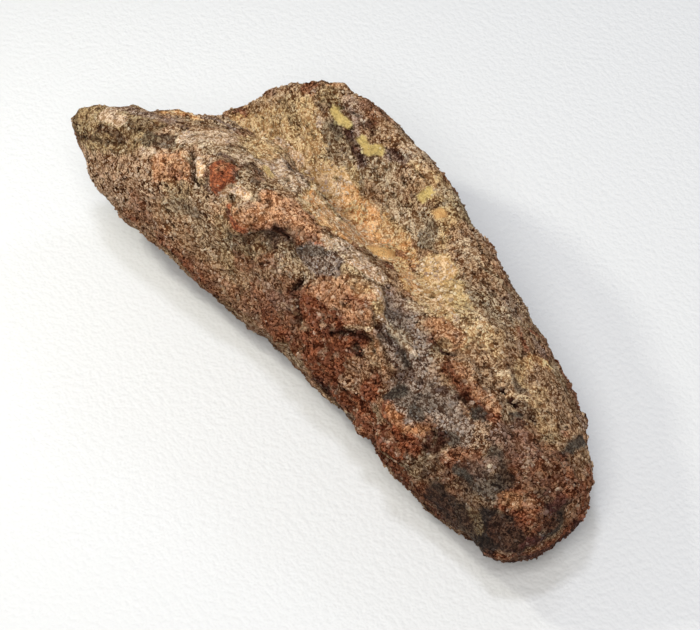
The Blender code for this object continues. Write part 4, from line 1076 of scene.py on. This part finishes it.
def mark_minerals(mesh, colours, texture):
    """Writes the colour, and the grit, pits and shine, that the stone's shader reads at each point."""
    opaque = np.hstack([np.clip(colours, 0, 1), np.ones((len(colours), 1))])
    set_attribute(mesh, "mineral", "FLOAT_COLOR", opaque)
    set_attribute(mesh, "texture", "FLOAT_VECTOR", texture)


def keep_in_box(points):
    """Holds every point inside the CAD node's box, in mm."""
    low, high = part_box(NODE)
    return np.clip(points, np.array(low) / MM, np.array(high) / MM)


def finish_piece(piece, material):
    """Gives a piece its material and hangs it on the frame."""
    piece.data.materials.clear()
    piece.data.materials.append(material)
    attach(piece, "root")


def apply_modifier(piece, label, kind, **settings):
    """Adds a modifier with its settings, and applies it."""
    modifier = piece.modifiers.new(label, kind)
    for name, value in settings.items():
        setattr(modifier, name, value)
    bpy.ops.object.modifier_apply(modifier=modifier.name)


def copy_of_node():
    """The CAD node as a closed mesh of its own, remeshed to the fine grid."""
    sizes = bpy.context.scene.fossil_sizes
    deselect_all()
    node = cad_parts[NODE]
    body = bpy.data.objects.new(BODY, node.data.copy())
    bpy.context.collection.objects.link(body)
    bpy.context.view_layer.objects.active = body
    body.select_set(True)
    bpy.ops.object.mode_set(mode="EDIT")
    bpy.ops.mesh.select_all(action="SELECT")
    bpy.ops.mesh.remove_doubles(threshold=1e-6)
    bpy.ops.mesh.normals_make_consistent(inside=False)
    bpy.ops.object.mode_set(mode="OBJECT")
    apply_modifier(body, "Remesh", "REMESH", mode="VOXEL", voxel_size=sizes.grid)
    apply_modifier(body, "Soften", "SMOOTH", factor=0.5, iterations=4)
    return body


def read_points(mesh):
    """The mesh's points in mm and their normals."""
    points = np.empty(len(mesh.vertices) * 3)
    mesh.vertices.foreach_get("co", points)
    normals = np.empty(len(mesh.vertices) * 3)
    mesh.vertices.foreach_get("normal", normals)
    return points.reshape(-1, 3) / MM, normals.reshape(-1, 3)


class FOSSIL_OT_stone(bpy.types.Operator):
    """Make the stone body: remesh the CAD shape, carve its relief and pores and lay down the minerals"""

    bl_idname = "fossil.stone"
    bl_label = "Stone Body"

    def execute(self, context):
        sizes = context.scene.fossil_sizes
        body = copy_of_node()
        points, normals = read_points(body.data)
        colour, grit, crag, pits, shine, _ = mineral_look(points)
        lumps = crust_lumps(points)
        pores = pore_depth(points, pits)
        carved, shadow = carving_depth(points)
        ground = drift(points, size=2.8) + 0.7 * drift(points, size=1.2)
        ground = ground + 0.6 * grit * drift(points, size=0.6)
        rise = sizes.relief / MM * ground
        rise += sizes.crag / MM * crag * lumps
        rise -= sizes.pit / MM * pores + carved
        rise *= ramp(points[:, 2], start=0.2, width=0.8)
        on_foot = points[:, 2] < FOOT
        points = points + rise[:, None] * normals
        points[on_foot, 2] = 0.0
        points = keep_in_box(points)
        body.data.vertices.foreach_set("co", (points * MM).ravel())
        # Painted light and shade: the pores and the bottoms of the cuts are darkened, the crests of the
        # crust painted lighter and the hollows between them darker.
        painted_pore_shade = smooth_step(pores * 1.6)
        colour = colour * ((1 - PORE_SHADE * painted_pore_shade) * (1 - CUT_SHADE * shadow))[:, None]
        mottle = drift(points, size=1.0, shift=5.0)
        colour *= (1 + CREST_PAINTED_LIGHT_AND_HOLLOW_SHADE * crag * lumps + MOTTLE * mottle)[:, None]
        mark_minerals(body.data, colour, np.column_stack([grit, pits, shine]))
        body.data.update()
        bpy.ops.object.shade_smooth()
        stone = stone_material(
            "weathered_stone", grains_per_metre=3100.0, contrast=0.95, roughness=0.93, bump=0.8
        )
        finish_piece(body, stone)
        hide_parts(NODE)
        return {"FINISHED"}


def one_grain():
    """The points and faces of a twenty-sided grain one unit across."""
    deselect_all()
    bpy.ops.mesh.primitive_ico_sphere_add(subdivisions=1, radius=0.5)
    ball = bpy.context.object
    points = np.array([v.co[:] for v in ball.data.vertices])
    faces = np.array([f.vertices[:] for f in ball.data.polygons])
    bpy.data.objects.remove(ball)
    return points, faces


def scatter(body, density, spacing, rng):
    """Even random spots on the stone: their places in mm, and a near point's normal and number."""
    mesh = body.data
    mesh.calc_loop_triangles()
    corners = np.empty(len(mesh.loop_triangles) * 3, np.int32)
    mesh.loop_triangles.foreach_get("vertices", corners)
    corners = corners.reshape(-1, 3)
    points, normals = read_points(mesh)
    a, b, c = (points[corners[:, i]] for i in range(3))
    area = np.linalg.norm(np.cross(b - a, c - a), axis=1) / 2 * density[corners].mean(axis=1)
    count = int(area.sum() / (spacing * spacing) * TRIES)
    pick = rng.choice(len(corners), count, p=area / area.sum())
    u, v = rng.random((2, count))
    flip = u + v > 1
    u[flip], v[flip] = 1 - u[flip], 1 - v[flip]
    spots = a[pick] + u[:, None] * (b - a)[pick] + v[:, None] * (c - a)[pick]
    cells = np.floor(spots / spacing).astype(np.int64)
    _, first = np.unique(cells @ np.array([1, ROW, ROW * ROW]), return_index=True)
    first = first[spots[first, 2] > FOOT]
    chosen = corners[pick[first], 0]
    return spots[first], normals[chosen], chosen


def grain_tints(colour, grit, shine, glassy, rng):
    """Colour, grit, pits and shine of each grain, drawn between its mineral's dark and pale tone."""
    lot = (DARKEST_LOT + LOT_SPREAD * rng.random(len(colour)))[:, None]
    if glassy:
        lot = np.maximum(lot, GLASSY_LOT)
        shine = shine + SPARKLE * rng.random(len(colour))
    dark = colour * DARK_GRAIN
    pale = np.minimum(colour * PALE_GRAIN, PALEST)
    return np.column_stack([dark + (pale - dark) * lot, 0.5 * grit, 0 * lot, shine])


def build_grains(name, spots, normals, tints, widths, sink, rng):
    """All the grains of a piece as one mesh: each uneven, turned at random and pressed into the stone."""
    base, faces = one_grain()
    count, corners = len(spots), len(base)
    shapes = base[None] * (1 + UNEVENNESS * (rng.random((count, corners, 1)) - 0.5))
    shapes = shapes * (widths[:, None, None] * (THINNEST + STRETCH * rng.random((count, 1, 3))))
    turns = rng.normal(size=(count, 3, 3))
    turns, _ = np.linalg.qr(turns)
    turns[:, :, 0] *= np.linalg.det(turns)[:, None]
    shapes = np.einsum("nij,nkj->nki", turns, shapes)
    along = np.einsum("nki,ni->nk", shapes, normals)
    shapes -= FLATTENING * along[:, :, None] * normals[:, None]
    shapes += (spots + (0.5 - sink) * 0.5 * widths[:, None] * normals)[:, None]
    points = keep_in_box(shapes.reshape(-1, 3))
    points[:, 2] = np.maximum(points[:, 2], GRAIN_CLEARANCE)
    mesh = bpy.data.meshes.new(name)
    numbers = faces[None] + corners * np.arange(count)[:, None, None]
    mesh.from_pydata(points * MM, [], numbers.reshape(-1, 3))
    mesh.shade_flat()
    tints = np.repeat(tints, corners, axis=0)
    mark_minerals(mesh, tints[:, :3], tints[:, 3:])
    piece = bpy.data.objects.new(name, mesh)
    bpy.context.collection.objects.link(piece)
    return piece


class FOSSIL_OT_grains(bpy.types.Operator):
    """Seat the sand, iron and quartz grains in the stone"""

    bl_idname = "fossil.grains"
    bl_label = "Sand Grains"

    def execute(self, context):
        sizes = context.scene.fossil_sizes
        body = bpy.data.objects[BODY]
        points, _ = read_points(body.data)
        colour, grit, crag, pits, shine, loose = mineral_look(points)
        rng = np.random.default_rng(GRAIN_SEED)
        solid = (1 - pore_depth(points, pits)) * (1 - carving_depth(points)[1])
        solid *= ramp(drift(points, size=0.9, shift=17.0), start=-0.05, width=0.2)
        # Each kind's name, mean width, how thickly it lies, how far it sinks in and its meshes.
        kinds = (
            ("sand_grains", sizes.sand, loose * (1 - 0.6 * crag), 0.35, 3),
            ("iron_grains", sizes.iron, loose * ramp(crag, start=0.35, width=0.4), 0.35, 1),
            ("quartz_grains", sizes.quartz, 0.15 * grit, 0.4, 1),
        )
        for name, width, density, sink, pieces in kinds:
            width = width / MM
            spots, normals, chosen = scatter(body, density * solid, width * CROWDING, rng)
            order = rng.permutation(len(spots))[: pieces * sizes.budget]
            spots, normals, chosen = spots[order], normals[order], chosen[order]
            glassy = name == "quartz_grains"
            tints = grain_tints(colour[chosen], grit[chosen], shine[chosen], glassy, rng)
            widths = width * (LEAST_WIDTH + WIDTH_SPREAD * rng.random(len(spots)) ** FEW_LARGE)
            material = stone_material(
                name.removesuffix("s"), grains_per_metre=4200.0, contrast=0.6, roughness=0.88, bump=0.4
            )
            share = math.ceil(len(spots) / pieces)
            for part in range(pieces):
                pick = slice(part * share, (part + 1) * share)
                label = name if pieces == 1 else f"{name}_{part + 1}"
                piece = build_grains(
                    label, spots[pick], normals[pick], tints[pick], widths[pick], sink, rng
                )
                finish_piece(piece, material)
        return {"FINISHED"}


def toward(azimuth, elevation):
    """The unit direction of a place round the object, where azimuth 0 is the -Y side."""
    a, e = math.radians(azimuth), math.radians(elevation)
    return Vector((math.sin(a) * math.cos(e), -math.cos(a) * math.cos(e), math.sin(e)))


def aim(thing, target):
    """Points a lamp or camera at a target."""
    thing.rotation_mode = "QUATERNION"
    thing.rotation_quaternion = (Vector(target) - thing.location).to_track_quat("-Z", "Y")


def soft_light(name, azimuth, elevation, distance, width, power, colour):
    """A round softbox aimed at the middle of the stone."""
    deselect_all()
    bpy.ops.object.light_add(type="AREA", location=toward(azimuth, elevation) * distance)
    lamp = bpy.context.object
    lamp.name = name
    lamp.data.shape = "DISK"
    lamp.data.size, lamp.data.energy, lamp.data.color = width, power, colour
    aim(lamp, (0, 0, 0))
    lamp.visible_camera = False


def floor_material():
    """Matt off-white board with a faint leathery tooth."""
    material = bpy.data.materials.new("pale_floor")
    material.use_nodes = True
    tree = material.node_tree
    shader = tree.nodes["Principled BSDF"]
    shader.inputs["Base Color"].default_value = (*BOARD_GREY, 1)
    shader.inputs["Roughness"].default_value = 0.7
    shader.inputs["Specular IOR Level"].default_value = 0.2
    place = add_node(tree, "ShaderNodeTexCoord", (-5, 0))
    tooth_look = {"Scale": 1250.0, "Detail": 1.0, "Roughness": 0.5}
    tooth = add_node(tree, "ShaderNodeTexNoise", (-4, 0), tooth_look)
    relief = add_node(tree, "ShaderNodeBump", (-2, 0), {"Strength": 0.5, "Distance": 0.0003})
    wire(
        tree,
        (place, "Object", tooth, "Vector"),
        (tooth, "Fac", relief, "Height"),
        (relief, "Normal", shader, "Normal"),
    )
    return material


class FOSSIL_OT_stage(bpy.types.Operator):
    """Set up the pale floor, the soft lights, the sky and the camera"""

    bl_idname = "fossil.stage"
    bl_label = "Floor, Light and Camera"

    def execute(self, context):
        deselect_all()
        bpy.ops.mesh.primitive_plane_add(size=FLOOR_WIDTH)
        floor = context.object
        floor.name = "floor"
        floor.data.materials.append(floor_material())
        for lamp in LAMPS:
            soft_light(*lamp)
        world = bpy.data.worlds.new("studio")
        world.use_nodes = True
        sky = world.node_tree.nodes["Background"]
        sky.inputs["Color"].default_value = (*SKY_COLOUR, 1)
        sky.inputs["Strength"].default_value = SKY_STRENGTH
        context.scene.world = world
        deselect_all()
        look_at = Vector(CAMERA_AIM)
        bpy.ops.object.camera_add(location=look_at + toward(*CAMERA_ANGLES) * CAMERA_DISTANCE)
        camera = context.object
        camera.data.lens, camera.data.sensor_width = 120, 36
        aim(camera, look_at)
        context.scene.camera = camera
        context.scene.view_settings.view_transform = "Standard"
        return {"FINISHED"}


class FOSSIL_PT_panel(bpy.types.Panel):
    """Lists the fossil's pieces, sizes and minerals"""

    bl_idname = "FOSSIL_PT_panel"
    bl_label = "Fossil Tooth"
    bl_space_type = "VIEW_3D"
    bl_region_type = "UI"
    bl_category = "Fossil"

    def draw(self, context):
        for operator in OPERATORS:
            self.layout.operator(operator.bl_idname)
        for group in (context.scene.fossil_sizes, context.scene.fossil_minerals):
            box = self.layout.box()
            for name in group.__annotations__:
                box.prop(group, name)


OPERATORS = (FOSSIL_OT_stone, FOSSIL_OT_grains, FOSSIL_OT_stage)
CLASSES = (FossilMinerals, FossilSizes, *OPERATORS, FOSSIL_PT_panel)


def register():
    for cls in CLASSES:
        bpy.utils.register_class(cls)
    bpy.types.Scene.fossil_minerals = bpy.props.PointerProperty(type=FossilMinerals)
    bpy.types.Scene.fossil_sizes = bpy.props.PointerProperty(type=FossilSizes)


def unregister():
    del bpy.types.Scene.fossil_sizes
    del bpy.types.Scene.fossil_minerals
    for cls in reversed(CLASSES):
        bpy.utils.unregister_class(cls)


def main():
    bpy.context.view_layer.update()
    register()
    bpy.ops.fossil.stone()
    bpy.ops.fossil.grains()
    bpy.ops.fossil.stage()


if __name__ == "__main__":
    main()
